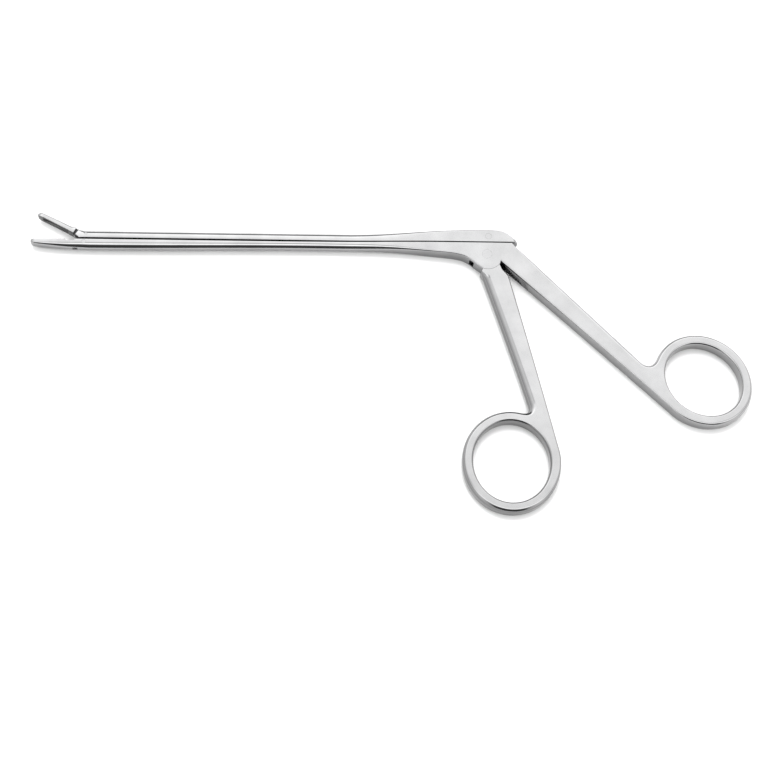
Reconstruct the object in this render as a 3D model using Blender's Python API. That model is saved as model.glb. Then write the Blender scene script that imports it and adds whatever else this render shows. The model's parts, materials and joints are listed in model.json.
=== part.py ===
# Rongeur with ring handles and opening cup jaws, lying on its side.
# Outlines are drawn in millimetres, seen from above: X runs along the shaft with the jaws at -X,
# Y points to the sliding shaft's side, Z is the instrument's thickness, and the handle pivot is at 0, 0, 0.
# The whole instrument is then stood on z = 0 with its footprint centred on the origin.

import math

import bmesh
import bpy
from mathutils import Matrix, Vector

MM = 0.001

# Overall form
REACH = 140.0                   # jaw tip to handle pivot
BODY_THICKNESS = 5.0            # housing, handles and rings
SEAT_HEIGHT = 4.05              # sliding plane above the handle pivot
SEAT_GAP = 0.3                  # between the sliding shaft and the lower shaft

# Shaft
SHAFT_WIDTH = 3.5
SHAFT_DEPTH_FRONT = 3.05        # lower shaft, behind the jaws
SHAFT_DEPTH_REAR = 2.35         # lower shaft, before the housing
SHAFT_TAPER = 70.0              # length over which it goes from the one depth to the other
SLIDE_DEPTH = 2.75              # sliding shaft
SLIDE_DEPTH_REAR = 4.1          # sliding shaft over the housing
FLARE_START = 45.0              # where the shaft begins to widen, before the pivot
FLARE_END = 13.0                # where it has the housing's thickness
SIDE_CROWN = 0.3                # how much narrower the shaft is at its top and bottom
EDGE_ROUND = 0.95               # widest rounding of an edge, seen from above
HOUSING_EDGE = 0.25             # rounding of the housing's edges
SEAT_EDGE = 0.1                 # rounding beside the sliding plane
BELLY_SWELL = 1.45              # lower shaft's added depth where it meets the housing

# Housing
HOUSING_RADIUS = 4.85           # round lower end about the handle pivot
HOUSING_ARC_START = 252.0       # angle where it leaves the belly, in degrees
HANDLE_NOTCH_ANGLE = 9.34       # from its other end to the rear handle's lower edge, about the pivot
HOUSING_REAR = 7.8              # rear end of the sliding plane
SLIDE_OVERHANG = 2.0            # sliding shaft past the sliding plane's rear end
TAIL_DROPS = ((5.3, 0.35), (3.4, 1.2), (1.5, 2.7))      # before the sliding shaft's end, below its peak
TAIL_ROUND = 0.6                # rounding of the sliding shaft's rear end
LEVER_SLOT_RADIUS = 5.05        # saw slot in the housing
BELLY_DROPS = ((-10.3, 0.35), (-7.7, 0.95), (-6.2, 1.6), (-4.7, 2.6), (-3.2, 3.9))  # place, drop
LEVER_THICKNESS = 2.2
LEVER_CLEARANCE = 0.15          # each side of the lever in its slot

# Jaws
JAW_LENGTH = 10.4               # serrated bite with its round tip
JAW_DEPTH_ROOT = 2.75
JAW_DEPTH_TIP = 1.65
UPPER_DEPTH_ROOT = 2.0
UPPER_DEPTH_TIP = 1.55
UPPER_OVERHANG = 0.7            # upper jaw's tip past the lower one's, jaws closed
TIP_REACH = 1.5                 # round end of a jaw's back, seen from above
BITE_ROUND = 0.55               # round end of a jaw beside its bite, seen from above
JAW_OPEN_ANGLE = 28.0           # degrees
BITE_DROP = 0.35                # lower bite below the sliding plane
BITE_GAP = 0.15                 # between the closed jaws
TIP_LENGTH = 3.2                # round end of a jaw, seen from the side with the bite
JAW_ROUND = 0.8                 # rounding of a jaw's back
TIP_ROUND = 0.12
JAW_RELIEF = 2.0                # gap in the shaft's upper edge behind the lower bite
RELIEF_DEPTH = 0.55
RELIEF_RAMP = 1.6               # from the gap up to the sliding plane
BITE_HEEL = 0.5                 # slope at the rear of the lower bite
JAW_REAR_GAP = 0.35             # upper jaw's rear face, before the gap's end
CUP_LENGTH = 8.2
CUP_WIDTH = 2.1
CUP_DEPTH = 1.0
CUP_SETBACK = 1.0               # rear of the cup to the rear of the bite
TOOTH_PITCH = 0.55
TOOTH_DEPTH = 0.22
TANG_THICKNESS = 1.4
TANG_CLEARANCE = 0.15

# Jaw joint
JAW_PIVOT_SETBACK = 16.2        # behind the jaw tip
JAW_PIVOT_DROP = 1.15           # below the sliding plane
JAW_ARM = 2.5                   # link pin above the jaw pivot
NOSE_LENGTH = 2.7               # sliding shaft in front of the jaw pivot, jaws open
NOSE_BEVEL = (1.3, 1.05)        # under the nose, along and up
NOSE_LEAN = 0.95                # top of the nose behind its foremost point
TANG_SLOT_FRONT = 0.6           # before the upper jaw's rear face
TANG_SLOT_REAR = 1.6            # behind the pins
TANG_SLOT_FLOOR = 1.4           # below the jaw pivot
TANG_NECK = (0.25, 1.75)        # lower and upper side of the tang's neck, above the bite
TANG_ROOT = 0.8                 # neck's length inside the jaw
RUN_OUT_START = 3.4             # saw cut through the lower shaft's underside, before the jaw pivot
RUN_OUT_LENGTH = 1.5

# Pins
PIN_CLEARANCE = 0.04
SLOT_CLEARANCE = 0.06
HANDLE_PIN_RADIUS = 1.5
DRIVE_PIN_RADIUS = 1.0
JAW_PIN_RADIUS = 0.6
LINK_PIN_RADIUS = 0.5
TANG_HUB_RADIUS = 1.2           # tang about the jaw pivot pin
TANG_EYE_RADIUS = 1.1           # tang about the link pin
PIN_SET_BACK = 0.05             # pin ends below the surface

# Lever
LEVER_ARM = 6.05                # drive pin above the handle pivot
LEVER_HUB_RADIUS = 3.5
LEVER_FORK_WIDTH = 4.2
LEVER_FORK_TOP = 1.15           # above the drive pin
POCKET_HEADROOM = 0.3           # above the fork
POCKET_CLEARANCE = 0.65         # before and behind the fork in the sliding shaft's pocket
SHOULDER_GAP = 0.15             # handle shoulder to the housing's round end
SHOULDER_STOPS = (4.0, 2.0)     # degrees short of the round end's two ends, clear of the rear handle

# Guides between the shafts
GUIDE_LENGTH = 6.0
REAR_GUIDE_PLACE = 27.0         # middle of the rear guide, before the handle pivot
FRONT_GUIDE_PLACE = 16.8        # middle of the front guide, behind the jaw pivot
GUIDE_NECK_WIDTH = 1.0
GUIDE_FOOT_WIDTH = 1.8
GUIDE_FOOT_HEIGHT = 0.55
GUIDE_FOOT_DROP = 0.75          # top of the foot below the lower shaft's top
GUIDE_CLEARANCE = 0.15

# Handles and rings
RING_WALL = 3.3
FRONT_RING_CENTRE = (5.2, -66.95)
FRONT_RING_HALF = (13.2, 14.28)         # middle of the wall, across and along
FRONT_RING_TILT = 0.0
REAR_RING_CENTRE = (65.0, -40.6)
REAR_RING_HALF = (13.95, 12.45)
REAR_RING_TILT = -41.0
FRONT_HANDLE_TOP = (-2.0, -5.75)        # its left upper corner
FRONT_HANDLE_STEP = (6.3, -7.0)         # its right upper corner, clear of the rear handle when closed
FRONT_HANDLE_LEFT = ((6.0, -31.0), (11.0, -49.0))       # bend and lower end of its left edge
FRONT_HANDLE_RIGHT = ((6.8, -8.4), (13.4, -35.5))       # upper end and bend of its right edge
FRONT_CROTCH = (11.7, -52.0)
REAR_HANDLE_SLOPE = 1.025               # drop for each millimetre along, on its upper edge
REAR_HANDLE_LENGTH = 38.6               # along, from the housing to the thumb ring
REAR_HANDLE_LIFT = 0.35                 # upper edge above the housing's rear corner line
REAR_HANDLE_UNDER = ((4.3, -2.35), (24.0, -20.7))       # start and bend of its lower edge
REAR_CROTCH = (49.4, -37.4)
HANDLE_RIM_ROUND = 0.7                  # rounding of the handles below the housing

RIM_SEGMENTS = 3
MITRE_LIMIT = 0.6
PIN_SIDES = 24
ARC_STEP = 9.0                          # degrees between points of a round outline

SEAT_TOP = SEAT_HEIGHT + SEAT_GAP / 2
SEAT_BOTTOM = SEAT_HEIGHT - SEAT_GAP / 2
HALF_BODY = BODY_THICKNESS / 2
TIP_X = -REACH
UPPER_TIP_X = TIP_X - UPPER_OVERHANG
JAW_PIVOT = (TIP_X + JAW_PIVOT_SETBACK, SEAT_HEIGHT - JAW_PIVOT_DROP)
BITE_LOW = SEAT_HEIGHT - BITE_DROP
BITE_HIGH = BITE_LOW + BITE_GAP
BITE_REAR = TIP_X + JAW_LENGTH
JAW_REAR = BITE_REAR + JAW_RELIEF - JAW_REAR_GAP
GUIDE_PLACES = (REAR_GUIDE_PLACE, REACH - JAW_PIVOT_SETBACK - FRONT_GUIDE_PLACE)
NOTCH_X, NOTCH_Y = REAR_HANDLE_UNDER[0]
HOUSING_ARC_END = 360.0 + math.degrees(math.atan2(NOTCH_Y, NOTCH_X)) - HANDLE_NOTCH_ANGLE
HALF_STROKE = JAW_ARM * math.tan(math.radians(JAW_OPEN_ANGLE / 2))
STROKE = 2 * HALF_STROKE
LEVER_SWING = math.atan(HALF_STROKE / LEVER_ARM)
LINK_PIN = (JAW_PIVOT[0] + HALF_STROKE, JAW_PIVOT[1] + JAW_ARM)
DRIVE_PIN = (HALF_STROKE, LEVER_ARM)

OVAL_TOP = SEAT_TOP + SLIDE_DEPTH
OVAL_BOTTOM = SEAT_BOTTOM - SHAFT_DEPTH_FRONT
OVAL_MIDDLE = (OVAL_TOP + OVAL_BOTTOM) / 2
OVAL_HALF = (OVAL_TOP - OVAL_BOTTOM) / 2


def clear_scene():
    for obj in list(bpy.data.objects):
        bpy.data.objects.remove(obj, do_unlink=True)


def new_collection(name):
    collection = bpy.data.collections.new(name)
    bpy.context.scene.collection.children.link(collection)
    return collection


def steel(name, colour, roughness):
    material = bpy.data.materials.new(name)
    material.use_nodes = True
    shader = material.node_tree.nodes["Principled BSDF"]
    shader.inputs["Base Color"].default_value = (*colour, 1.0)
    shader.inputs["Metallic"].default_value = 1.0
    shader.inputs["Roughness"].default_value = roughness
    return material


# Curves and outlines

def smooth_step(value, start, end):
    share = min(max((value - start) / (end - start), 0.0), 1.0)
    return share * share * (3 - 2 * share)


def smooth_path(points, steps):
    # Points along a Catmull-Rom curve through the given ones.
    first = (2 * points[0][0] - points[1][0], 2 * points[0][1] - points[1][1])
    last = (2 * points[-1][0] - points[-2][0], 2 * points[-1][1] - points[-2][1])
    ends = [first, *points, last]
    path = []
    for i in range(1, len(ends) - 2):
        for step in range(steps):
            t = step / steps
            path.append(tuple(
                0.5 * (2 * b + (c - a) * t + (2 * a - 5 * b + 4 * c - d) * t * t
                       + (3 * b - a - 3 * c + d) * t ** 3)
                for a, b, c, d in zip(*ends[i - 1:i + 3])))
    path.append(points[-1])
    return path


def arc(centre, radius, start, end):
    # Points on a circle from one angle to another, in degrees.
    steps = max(2, round(abs(end - start) / ARC_STEP))
    angles = [math.radians(start + (end - start) * i / steps) for i in range(steps + 1)]
    return [(centre[0] + radius * math.cos(a), centre[1] + radius * math.sin(a)) for a in angles]


def oval_point(centre, half, tilt, angle):
    turn = math.radians(tilt)
    x = half[0] * math.cos(math.radians(angle))
    y = half[1] * math.sin(math.radians(angle))
    return (centre[0] + x * math.cos(turn) - y * math.sin(turn),
            centre[1] + x * math.sin(turn) + y * math.cos(turn))


def oval(centre, half, tilt, start, end):
    steps = max(2, round(abs(end - start) / ARC_STEP))
    return [oval_point(centre, half, tilt, start + (end - start) * i / steps) for i in range(steps + 1)]


def ring_outer(half):
    return (half[0] + RING_WALL / 2, half[1] + RING_WALL / 2)


def ring_hole(centre, half, tilt):
    inner = (half[0] - RING_WALL / 2, half[1] - RING_WALL / 2)
    return oval(centre, inner, tilt, 0, 360)[:-1]


def bend(start, control, end, steps):
    # Points on a quadratic curve, without its last one.
    path = []
    for i in range(steps):
        t = i / steps
        path.append(tuple((1 - t) ** 2 * a + 2 * t * (1 - t) * b + t * t * c
                          for a, b, c in zip(start, control, end)))
    return path


def flare_stations():
    return [-FLARE_START + (FLARE_START - FLARE_END) * i / 6 for i in range(7)]


def shaft_stations():
    # Places along the shaft where its curved edge has a point, front to rear.
    front = TIP_X + JAW_PIVOT_SETBACK
    plain = [front + 3.0, front + 15.0, front + 32.0, front + 50.0]
    return [x for x in plain if x < -FLARE_START - 4.0] + flare_stations()


def shaft_bottom(x):
    front = TIP_X + JAW_PIVOT_SETBACK
    thinner = SHAFT_DEPTH_FRONT - SHAFT_DEPTH_REAR
    depth = SHAFT_DEPTH_FRONT - thinner * smooth_step(x, front, front + SHAFT_TAPER)
    swell = BELLY_SWELL * smooth_step(x, -FLARE_START + 10.0, -FLARE_END + 8.0) ** 1.3
    return SEAT_BOTTOM - depth - swell


def slide_top(x):
    rise = SLIDE_DEPTH_REAR - SLIDE_DEPTH
    return SEAT_TOP + SLIDE_DEPTH + rise * smooth_step(x, -FLARE_START + 3.0, 2.0)


def half_width(x, tip):
    # Half the thickness of the shafts and jaws at a place along them.
    shaft = SHAFT_WIDTH / 2
    width = shaft + (HALF_BODY - shaft) * smooth_step(x, -FLARE_START, -FLARE_END)
    if x < tip + TIP_LENGTH:
        reach = min((tip + TIP_LENGTH - x) / (TIP_LENGTH + 0.25), 0.98)
        width *= math.sqrt(1 - reach * reach)
    return width


# Solids

def plate(loops, half_thickness):
    # A flat plate with the given outlines, as a welded mesh in millimetres.
    curve = bpy.data.curves.new("outline", "CURVE")
    curve.dimensions = "2D"
    curve.fill_mode = "BOTH"
    curve.extrude = half_thickness
    for loop in loops:
        spline = curve.splines.new("POLY")
        spline.points.add(len(loop) - 1)
        for point, (x, y) in zip(spline.points, loop):
            point.co = (x, y, 0.0, 1.0)
        spline.use_cyclic_u = True
    flat = bpy.data.objects.new("outline", curve)
    bpy.context.scene.collection.objects.link(flat)
    graph = bpy.context.evaluated_depsgraph_get()
    mesh = bpy.data.meshes.new_from_object(flat.evaluated_get(graph))
    bpy.data.objects.remove(flat, do_unlink=True)
    bpy.data.curves.remove(curve)
    bm = bmesh.new()
    bm.from_mesh(mesh)
    bmesh.ops.remove_doubles(bm, verts=bm.verts, dist=0.0001)
    bmesh.ops.recalc_face_normals(bm, faces=bm.faces)
    bm.to_mesh(mesh)
    bm.free()
    return mesh


def signed_area(loop):
    return sum(a[0] * b[1] - b[0] * a[1] for a, b in zip(loop, loop[1:] + loop[:1])) / 2


def inset_steps(loop):
    # For each point of an outline, the step into the material on its left that moves both its edges by one.
    steps = []
    for before, here, after in zip(loop[-1:] + loop[:-1], loop, loop[1:] + loop[:1]):
        first = (Vector(here) - Vector(before)).normalized()
        second = (Vector(after) - Vector(here)).normalized()
        normal = Vector((-first.y - second.y, first.x + second.x)).normalized()
        square = max(normal.dot(Vector((-first.y, first.x))), MITRE_LIMIT)
        steps.append(normal / square)
    return steps


def rounded_plate(outer, holes, half_thickness, width_at):
    # A plate whose rims are rounded by an ellipse: width_at gives its width seen from above at a place,
    # and the widest one is as tall as half the plate.
    bm = bmesh.new()
    caps = {-1: [], 1: []}
    loops = [outer if signed_area(outer) > 0 else outer[::-1]]
    loops += [hole if signed_area(hole) < 0 else hole[::-1] for hole in holes]
    for loop in loops:
        steps = inset_steps(loop)
        widths = [width_at(x, y) for x, y in loop]
        rings = []
        for side, turns in ((-1, range(RIM_SEGMENTS, -1, -1)), (1, range(RIM_SEGMENTS + 1))):
            for turn in turns:
                angle = math.pi / 2 * turn / RIM_SEGMENTS
                ring = []
                for (x, y), step, width in zip(loop, steps, widths):
                    rise = half_thickness * min(width / EDGE_ROUND, 0.96)
                    inset = step * width * (1 - math.cos(angle))
                    height = half_thickness - rise * (1 - math.sin(angle))
                    ring.append(bm.verts.new((x + inset.x, y + inset.y, side * height)))
                rings.append(ring)
        for low, high in zip(rings, rings[1:]):
            for i in range(len(loop)):
                bm.faces.new((low[i - 1], low[i], high[i], high[i - 1]))
        for side, ring in ((-1, rings[0]), (1, rings[-1])):
            caps[side] += [bm.edges.get((ring[i - 1], ring[i])) for i in range(len(loop))]
    for edges in caps.values():
        bmesh.ops.triangle_fill(bm, edges=edges, use_beauty=True, use_dissolve=False)
    bmesh.ops.recalc_face_normals(bm, faces=bm.faces)
    mesh = bpy.data.meshes.new("rounded_plate")
    bm.to_mesh(mesh)
    bm.free()
    return mesh


def split_shaft(bm, point, normal):
    # New edges where a plane crosses the shaft and jaws.
    faces = [f for f in bm.faces if all(v.co.x < -FLARE_END + 0.001 for v in f.verts)]
    edges = list({e for f in faces for e in f.edges})
    verts = list({v for f in faces for v in f.verts})
    bmesh.ops.bisect_plane(bm, geom=verts + edges + faces, dist=0.0001, plane_co=point, plane_no=normal)


def crown_sides(mesh, tip):
    # The shafts' and jaws' sides are brought in to their width and made a little round.
    bm = bmesh.new()
    bm.from_mesh(mesh)
    bmesh.ops.bisect_plane(bm, geom=bm.verts[:] + bm.edges[:] + bm.faces[:], dist=0.0001,
                           plane_co=(-FLARE_END, 0.0, 0.0), plane_no=(1.0, 0.0, 0.0))
    for x in [*flare_stations(), *(tip + TIP_LENGTH * share for share in (0.2, 0.45, 0.7, 1.0))]:
        split_shaft(bm, (x, 0.0, 0.0), (1.0, 0.0, 0.0))
    for share in (-0.6, -0.3, 0.3, 0.6):
        split_shaft(bm, (0.0, OVAL_MIDDLE + share * OVAL_HALF, 0.0), (0.0, 1.0, 0.0))
    for vertex in bm.verts:
        x = vertex.co.x
        if x > -FLARE_END + 0.001:
            continue
        crown = SIDE_CROWN * (1 - smooth_step(x, -FLARE_START, -FLARE_END))
        share = (vertex.co.y - OVAL_MIDDLE) / OVAL_HALF
        vertex.co.z *= half_width(x, tip) / HALF_BODY * (1 - crown * min(share * share, 1.0))
    bm.to_mesh(mesh)
    bm.free()


def finish_mesh(mesh, origin):
    # Millimetres to metres, with the origin moved to the given point.
    bm = bmesh.new()
    bm.from_mesh(mesh)
    bmesh.ops.translate(bm, verts=bm.verts, vec=(-origin[0], -origin[1], 0.0))
    bmesh.ops.scale(bm, verts=bm.verts, vec=(MM, MM, MM))
    bmesh.ops.triangulate(bm, faces=[f for f in bm.faces if len(f.verts) > 4])
    bm.to_mesh(mesh)
    bm.free()
    mesh.shade_smooth()
    mesh.set_sharp_from_angle(angle=math.radians(35.0))


def add_part(name, mesh, origin, material, collection, frame):
    finish_mesh(mesh, origin)
    mesh.name = name
    mesh.materials.clear()
    mesh.materials.append(material)
    obj = bpy.data.objects.new(name, mesh)
    obj.location = (origin[0] * MM, origin[1] * MM, 0.0)
    obj.parent = frame
    collection.objects.link(obj)
    return obj


def tool_object(name, mesh, obj, tools):
    # A shape that cuts or joins obj, kept in obj's own space.
    shape = bpy.data.objects.new(name, mesh)
    shape.parent = obj
    shape.hide_render = True
    shape.display_type = "WIRE"
    tools.objects.link(shape)
    return shape


def shape_boolean(obj, name, mesh, tools, operation="DIFFERENCE"):
    shape = tool_object(name, mesh, obj, tools)
    modifier = obj.modifiers.new(name, "BOOLEAN")
    modifier.object = shape
    modifier.operation = operation
    modifier.solver = "EXACT"


def box_mesh(origin, x_range, y_range, half_z):
    # A box between two corners, relative to a part's origin, in metres.
    bm = bmesh.new()
    bmesh.ops.create_cube(bm, size=1.0)
    size = Vector((x_range[1] - x_range[0], y_range[1] - y_range[0], 2 * half_z))
    x = (x_range[0] + x_range[1]) / 2 - origin[0]
    y = (y_range[0] + y_range[1]) / 2 - origin[1]
    bmesh.ops.scale(bm, verts=bm.verts, vec=size * MM)
    bmesh.ops.translate(bm, verts=bm.verts, vec=Vector((x, y, 0.0)) * MM)
    mesh = bpy.data.meshes.new("box")
    bm.to_mesh(mesh)
    bm.free()
    return mesh


def disc_mesh(origin, centre, radius, half_z, sides=PIN_SIDES, turn=0.0):
    bm = bmesh.new()
    bmesh.ops.create_cone(bm, cap_ends=True, segments=sides, radius1=radius * MM, radius2=radius * MM,
                          depth=2 * half_z * MM)
    bmesh.ops.rotate(bm, verts=bm.verts, cent=(0, 0, 0), matrix=Matrix.Rotation(turn, 3, "Z"))
    middle = Vector((centre[0] - origin[0], centre[1] - origin[1], 0.0))
    bmesh.ops.translate(bm, verts=bm.verts, vec=middle * MM)
    mesh = bpy.data.meshes.new("disc")
    bm.to_mesh(mesh)
    bm.free()
    return mesh


def flat_mesh(origin, loop, half_z):
    mesh = plate([loop], half_z)
    finish_mesh(mesh, origin)
    return mesh


def teeth_mesh(origin, bite_level):
    # A row of square bars turned on edge, one across the bite for each notch between two teeth.
    bm = bmesh.new()
    side = TOOTH_DEPTH * math.sqrt(2)
    count = int((JAW_LENGTH - TIP_LENGTH / 2) / TOOTH_PITCH)
    for i in range(count):
        x = BITE_REAR - TOOTH_PITCH * (i + 0.8) - origin[0]
        place = Matrix.Translation(Vector((x, bite_level - origin[1], 0.0)) * MM)
        turn = Matrix.Rotation(math.radians(45.0), 4, "Z")
        size = Matrix.Diagonal(Vector((side, side, SHAFT_WIDTH * 1.5)) * MM).to_4x4()
        bmesh.ops.create_cube(bm, size=1.0, matrix=place @ turn @ size)
    mesh = bpy.data.meshes.new("teeth")
    bm.to_mesh(mesh)
    bm.free()
    return mesh


def cup_mesh(origin, bite_level):
    bm = bmesh.new()
    bmesh.ops.create_uvsphere(bm, u_segments=20, v_segments=10, radius=1.0)
    bmesh.ops.scale(bm, verts=bm.verts, vec=Vector((CUP_LENGTH / 2, CUP_DEPTH, CUP_WIDTH / 2)) * MM)
    middle = Vector((BITE_REAR - CUP_SETBACK - CUP_LENGTH / 2 - origin[0], bite_level - origin[1], 0.0))
    bmesh.ops.translate(bm, verts=bm.verts, vec=middle * MM)
    mesh = bpy.data.meshes.new("cup")
    bm.to_mesh(mesh)
    bm.free()
    return mesh


# Fixed shank: lower shaft, lower jaw, housing, rear handle and thumb ring

def jaw_tip(tip, bite, back):
    # The round end of a jaw's outline, from its bite to its back.
    nose = bite + math.copysign(BITE_ROUND, back - bite)
    beside_bite = oval((tip + BITE_ROUND, nose), (BITE_ROUND, bite - nose), 0.0, 90, 180)
    beside_back = oval((tip + TIP_REACH, nose), (TIP_REACH, nose - back), 0.0, 180, 270)
    return beside_bite[::3] + beside_back[2::2]


def lower_jaw_outline():
    # From the sliding plane's front end round the lower jaw to the shaft's lower edge.
    relief = BITE_LOW - RELIEF_DEPTH
    back = BITE_LOW - JAW_DEPTH_TIP
    root = BITE_LOW - JAW_DEPTH_ROOT
    slope = (JAW_DEPTH_ROOT - JAW_DEPTH_TIP) / (JAW_LENGTH + JAW_RELIEF)
    bottom = [(TIP_X + d, back - slope * d) for d in (TIP_LENGTH, JAW_LENGTH)]
    ramp = BITE_REAR + JAW_RELIEF
    return ([(ramp + RELIEF_RAMP, SEAT_BOTTOM), (ramp + RELIEF_RAMP / 2, relief + 0.2), (ramp, relief),
             (BITE_REAR + BITE_HEEL, relief), (BITE_REAR, BITE_LOW),
             *jaw_tip(TIP_X, BITE_LOW, back), *bottom,
             (JAW_PIVOT[0] - 1.0, root), (JAW_PIVOT[0], shaft_bottom(JAW_PIVOT[0]))])


def fixed_outline():
    low = [(x, shaft_bottom(x)) for x in shaft_stations()]
    end = arc((0, 0), HOUSING_RADIUS, HOUSING_ARC_START, HOUSING_ARC_END)
    flare_end = low[-1]
    drops = [(x, flare_end[1] - drop) for x, drop in BELLY_DROPS]
    belly = smooth_path([flare_end, *drops, end[0]], 2)[1:-1]
    ring = oval(REAR_RING_CENTRE, ring_outer(REAR_RING_HALF), REAR_RING_TILT, -98, 195)
    start, turn = REAR_HANDLE_UNDER
    under = bend(start, turn, ring[0], 9)
    top_line = [rear_edge(REAR_HANDLE_LENGTH * share) for share in (1.0, 0.8, 0.6, 0.4, 0.2, 0.1)]
    crotch = bend(ring[-1], REAR_CROTCH, top_line[0], 5)[1:]
    return ([(HOUSING_REAR, SEAT_BOTTOM), *lower_jaw_outline(), *low, *belly, *end,
             *under, *ring, *crotch, *top_line])


def rear_edge(distance):
    # A point on the rear handle's upper edge, at a distance along from the housing.
    lift = REAR_HANDLE_LIFT * smooth_step(distance, 0.0, HOUSING_REAR)
    return (HOUSING_REAR + distance, SEAT_BOTTOM - REAR_HANDLE_SLOPE * distance + lift)


def shaft_rim(x):
    # Width of the rounding along the shafts' outer edges.
    return EDGE_ROUND - (EDGE_ROUND - HOUSING_EDGE) * smooth_step(x, -FLARE_START, -FLARE_END)


def fixed_rim(x, y):
    # Width of the rounding along the fixed shank's edges.
    on_seat = y > BITE_LOW - 0.3 and x < HOUSING_REAR + 1.0
    on_relief = y > BITE_LOW - RELIEF_DEPTH - 0.1 and BITE_REAR < x < JAW_PIVOT[0]
    if on_seat or on_relief:
        return SEAT_EDGE
    if x < BITE_REAR + JAW_RELIEF:
        return tip_rim(x, TIP_X)
    if x < HOUSING_REAR - 2.0:
        return shaft_rim(x)
    along = smooth_step(math.hypot(x, y), 9.0, 48.0)
    rim = HOUSING_EDGE + (HANDLE_RIM_ROUND - HOUSING_EDGE) * min(along * 2, 1.0)
    return rim + (EDGE_ROUND - HANDLE_RIM_ROUND) * along


def make_fixed_shank(material, parts, tools, frame):
    hole = ring_hole(REAR_RING_CENTRE, REAR_RING_HALF, REAR_RING_TILT)
    mesh = rounded_plate(fixed_outline(), [hole], HALF_BODY, fixed_rim)
    crown_sides(mesh, TIP_X)
    origin = (0.0, 0.0)
    shank = add_part("fixed_shank", mesh, origin, material, parts, frame)
    lever_half = LEVER_THICKNESS / 2 + LEVER_CLEARANCE
    shape_boolean(shank, "lever_slot", disc_mesh(origin, (0, 0), LEVER_SLOT_RADIUS, lever_half, 48), tools)
    notch = [(3.0, -2.2), (10.3, -8.6), (8.6, -10.3), (0.0, -4.0)]
    shape_boolean(shank, "rear_slot", flat_mesh(origin, notch, lever_half), tools)
    shape_boolean(shank, "pivot_hole",
                  disc_mesh(origin, (0, 0), HANDLE_PIN_RADIUS + PIN_CLEARANCE, BODY_THICKNESS), tools)
    for number, place in enumerate(GUIDE_PLACES):
        cut_guide_slot(shank, number, place, tools)
    tang_half = TANG_THICKNESS / 2 + TANG_CLEARANCE
    slot = (JAW_REAR - TANG_SLOT_FRONT, JAW_PIVOT[0] + TANG_SLOT_REAR)
    slot_rise = (JAW_PIVOT[1] - TANG_SLOT_FLOOR, SEAT_HEIGHT + 1.0)
    shape_boolean(shank, "tang_slot", box_mesh(origin, slot, slot_rise, tang_half), tools)
    run_out = (JAW_PIVOT[0] - RUN_OUT_START, JAW_PIVOT[0] - RUN_OUT_START + RUN_OUT_LENGTH)
    shape_boolean(shank, "saw_run_out",
                  box_mesh(origin, run_out, (0.0, SEAT_HEIGHT), tang_half * 0.8), tools)
    shape_boolean(shank, "jaw_pin_hole",
                  disc_mesh(origin, JAW_PIVOT, JAW_PIN_RADIUS + PIN_CLEARANCE, SHAFT_WIDTH), tools)
    shape_boolean(shank, "lower_cup", cup_mesh(origin, BITE_LOW), tools)
    shape_boolean(shank, "lower_teeth", teeth_mesh(origin, BITE_LOW), tools)
    return shank


def guide_levels():
    # Top and bottom of a guide's foot.
    top = SEAT_BOTTOM - GUIDE_FOOT_DROP
    return top, top - GUIDE_FOOT_HEIGHT


def cut_guide_slot(shank, number, place, tools):
    # A T-slot with a wide mouth behind it, where the guide's foot goes in.
    foot_top, foot_bottom = guide_levels()
    front = -place - GUIDE_LENGTH / 2 - STROKE - 2 * GUIDE_CLEARANCE
    rear = -place + GUIDE_LENGTH / 2 + 2 * GUIDE_CLEARANCE
    neck_half = GUIDE_NECK_WIDTH / 2 + GUIDE_CLEARANCE
    foot_half = GUIDE_FOOT_WIDTH / 2 + GUIDE_CLEARANCE
    above = SEAT_BOTTOM + 1.0
    shape_boolean(shank, f"guide_neck_slot_{number}",
                  box_mesh((0, 0), (front, rear + 1.0), (foot_top - 0.2, above), neck_half), tools)
    shape_boolean(shank, f"guide_foot_slot_{number}",
                  box_mesh((0, 0), (front, rear + GUIDE_LENGTH + 0.6),
                           (foot_bottom - GUIDE_CLEARANCE, foot_top + GUIDE_CLEARANCE), foot_half), tools)
    shape_boolean(shank, f"guide_mouth_{number}",
                  box_mesh((0, 0), (rear, rear + GUIDE_LENGTH + 0.6),
                           (foot_bottom - GUIDE_CLEARANCE, above), foot_half), tools)


# Sliding shaft

def slide_outline():
    nose = JAW_PIVOT[0] - NOSE_LENGTH
    top = [(x, slide_top(x)) for x in shaft_stations()]
    end = HOUSING_REAR + SLIDE_OVERHANG
    peak = slide_top(2.0)
    tail = [(end - before, peak - drop) for before, drop in TAIL_DROPS]
    back = smooth_path([(-FLARE_END, slide_top(-FLARE_END)), (-8.5, slide_top(-8.5)), (-3.0, slide_top(-3.0)),
                        (1.5, peak), *tail, (end, SEAT_TOP)], 2)[1:]
    back.append((HOUSING_REAR, SEAT_TOP))
    front = [(nose + NOSE_BEVEL[0], SEAT_TOP), (nose, SEAT_TOP + NOSE_BEVEL[1]),
             (nose + NOSE_LEAN, SEAT_TOP + SLIDE_DEPTH)]
    return [*front, *top, *back]


def slide_rim(x, y):
    if y < SEAT_TOP + 0.2:
        past = smooth_step(x, HOUSING_REAR, HOUSING_REAR + SLIDE_OVERHANG)
        return SEAT_EDGE + (TAIL_ROUND / 2 - SEAT_EDGE) * past
    return shaft_rim(x) + (TAIL_ROUND - HOUSING_EDGE) * smooth_step(x, 0.0, HOUSING_REAR)


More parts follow.
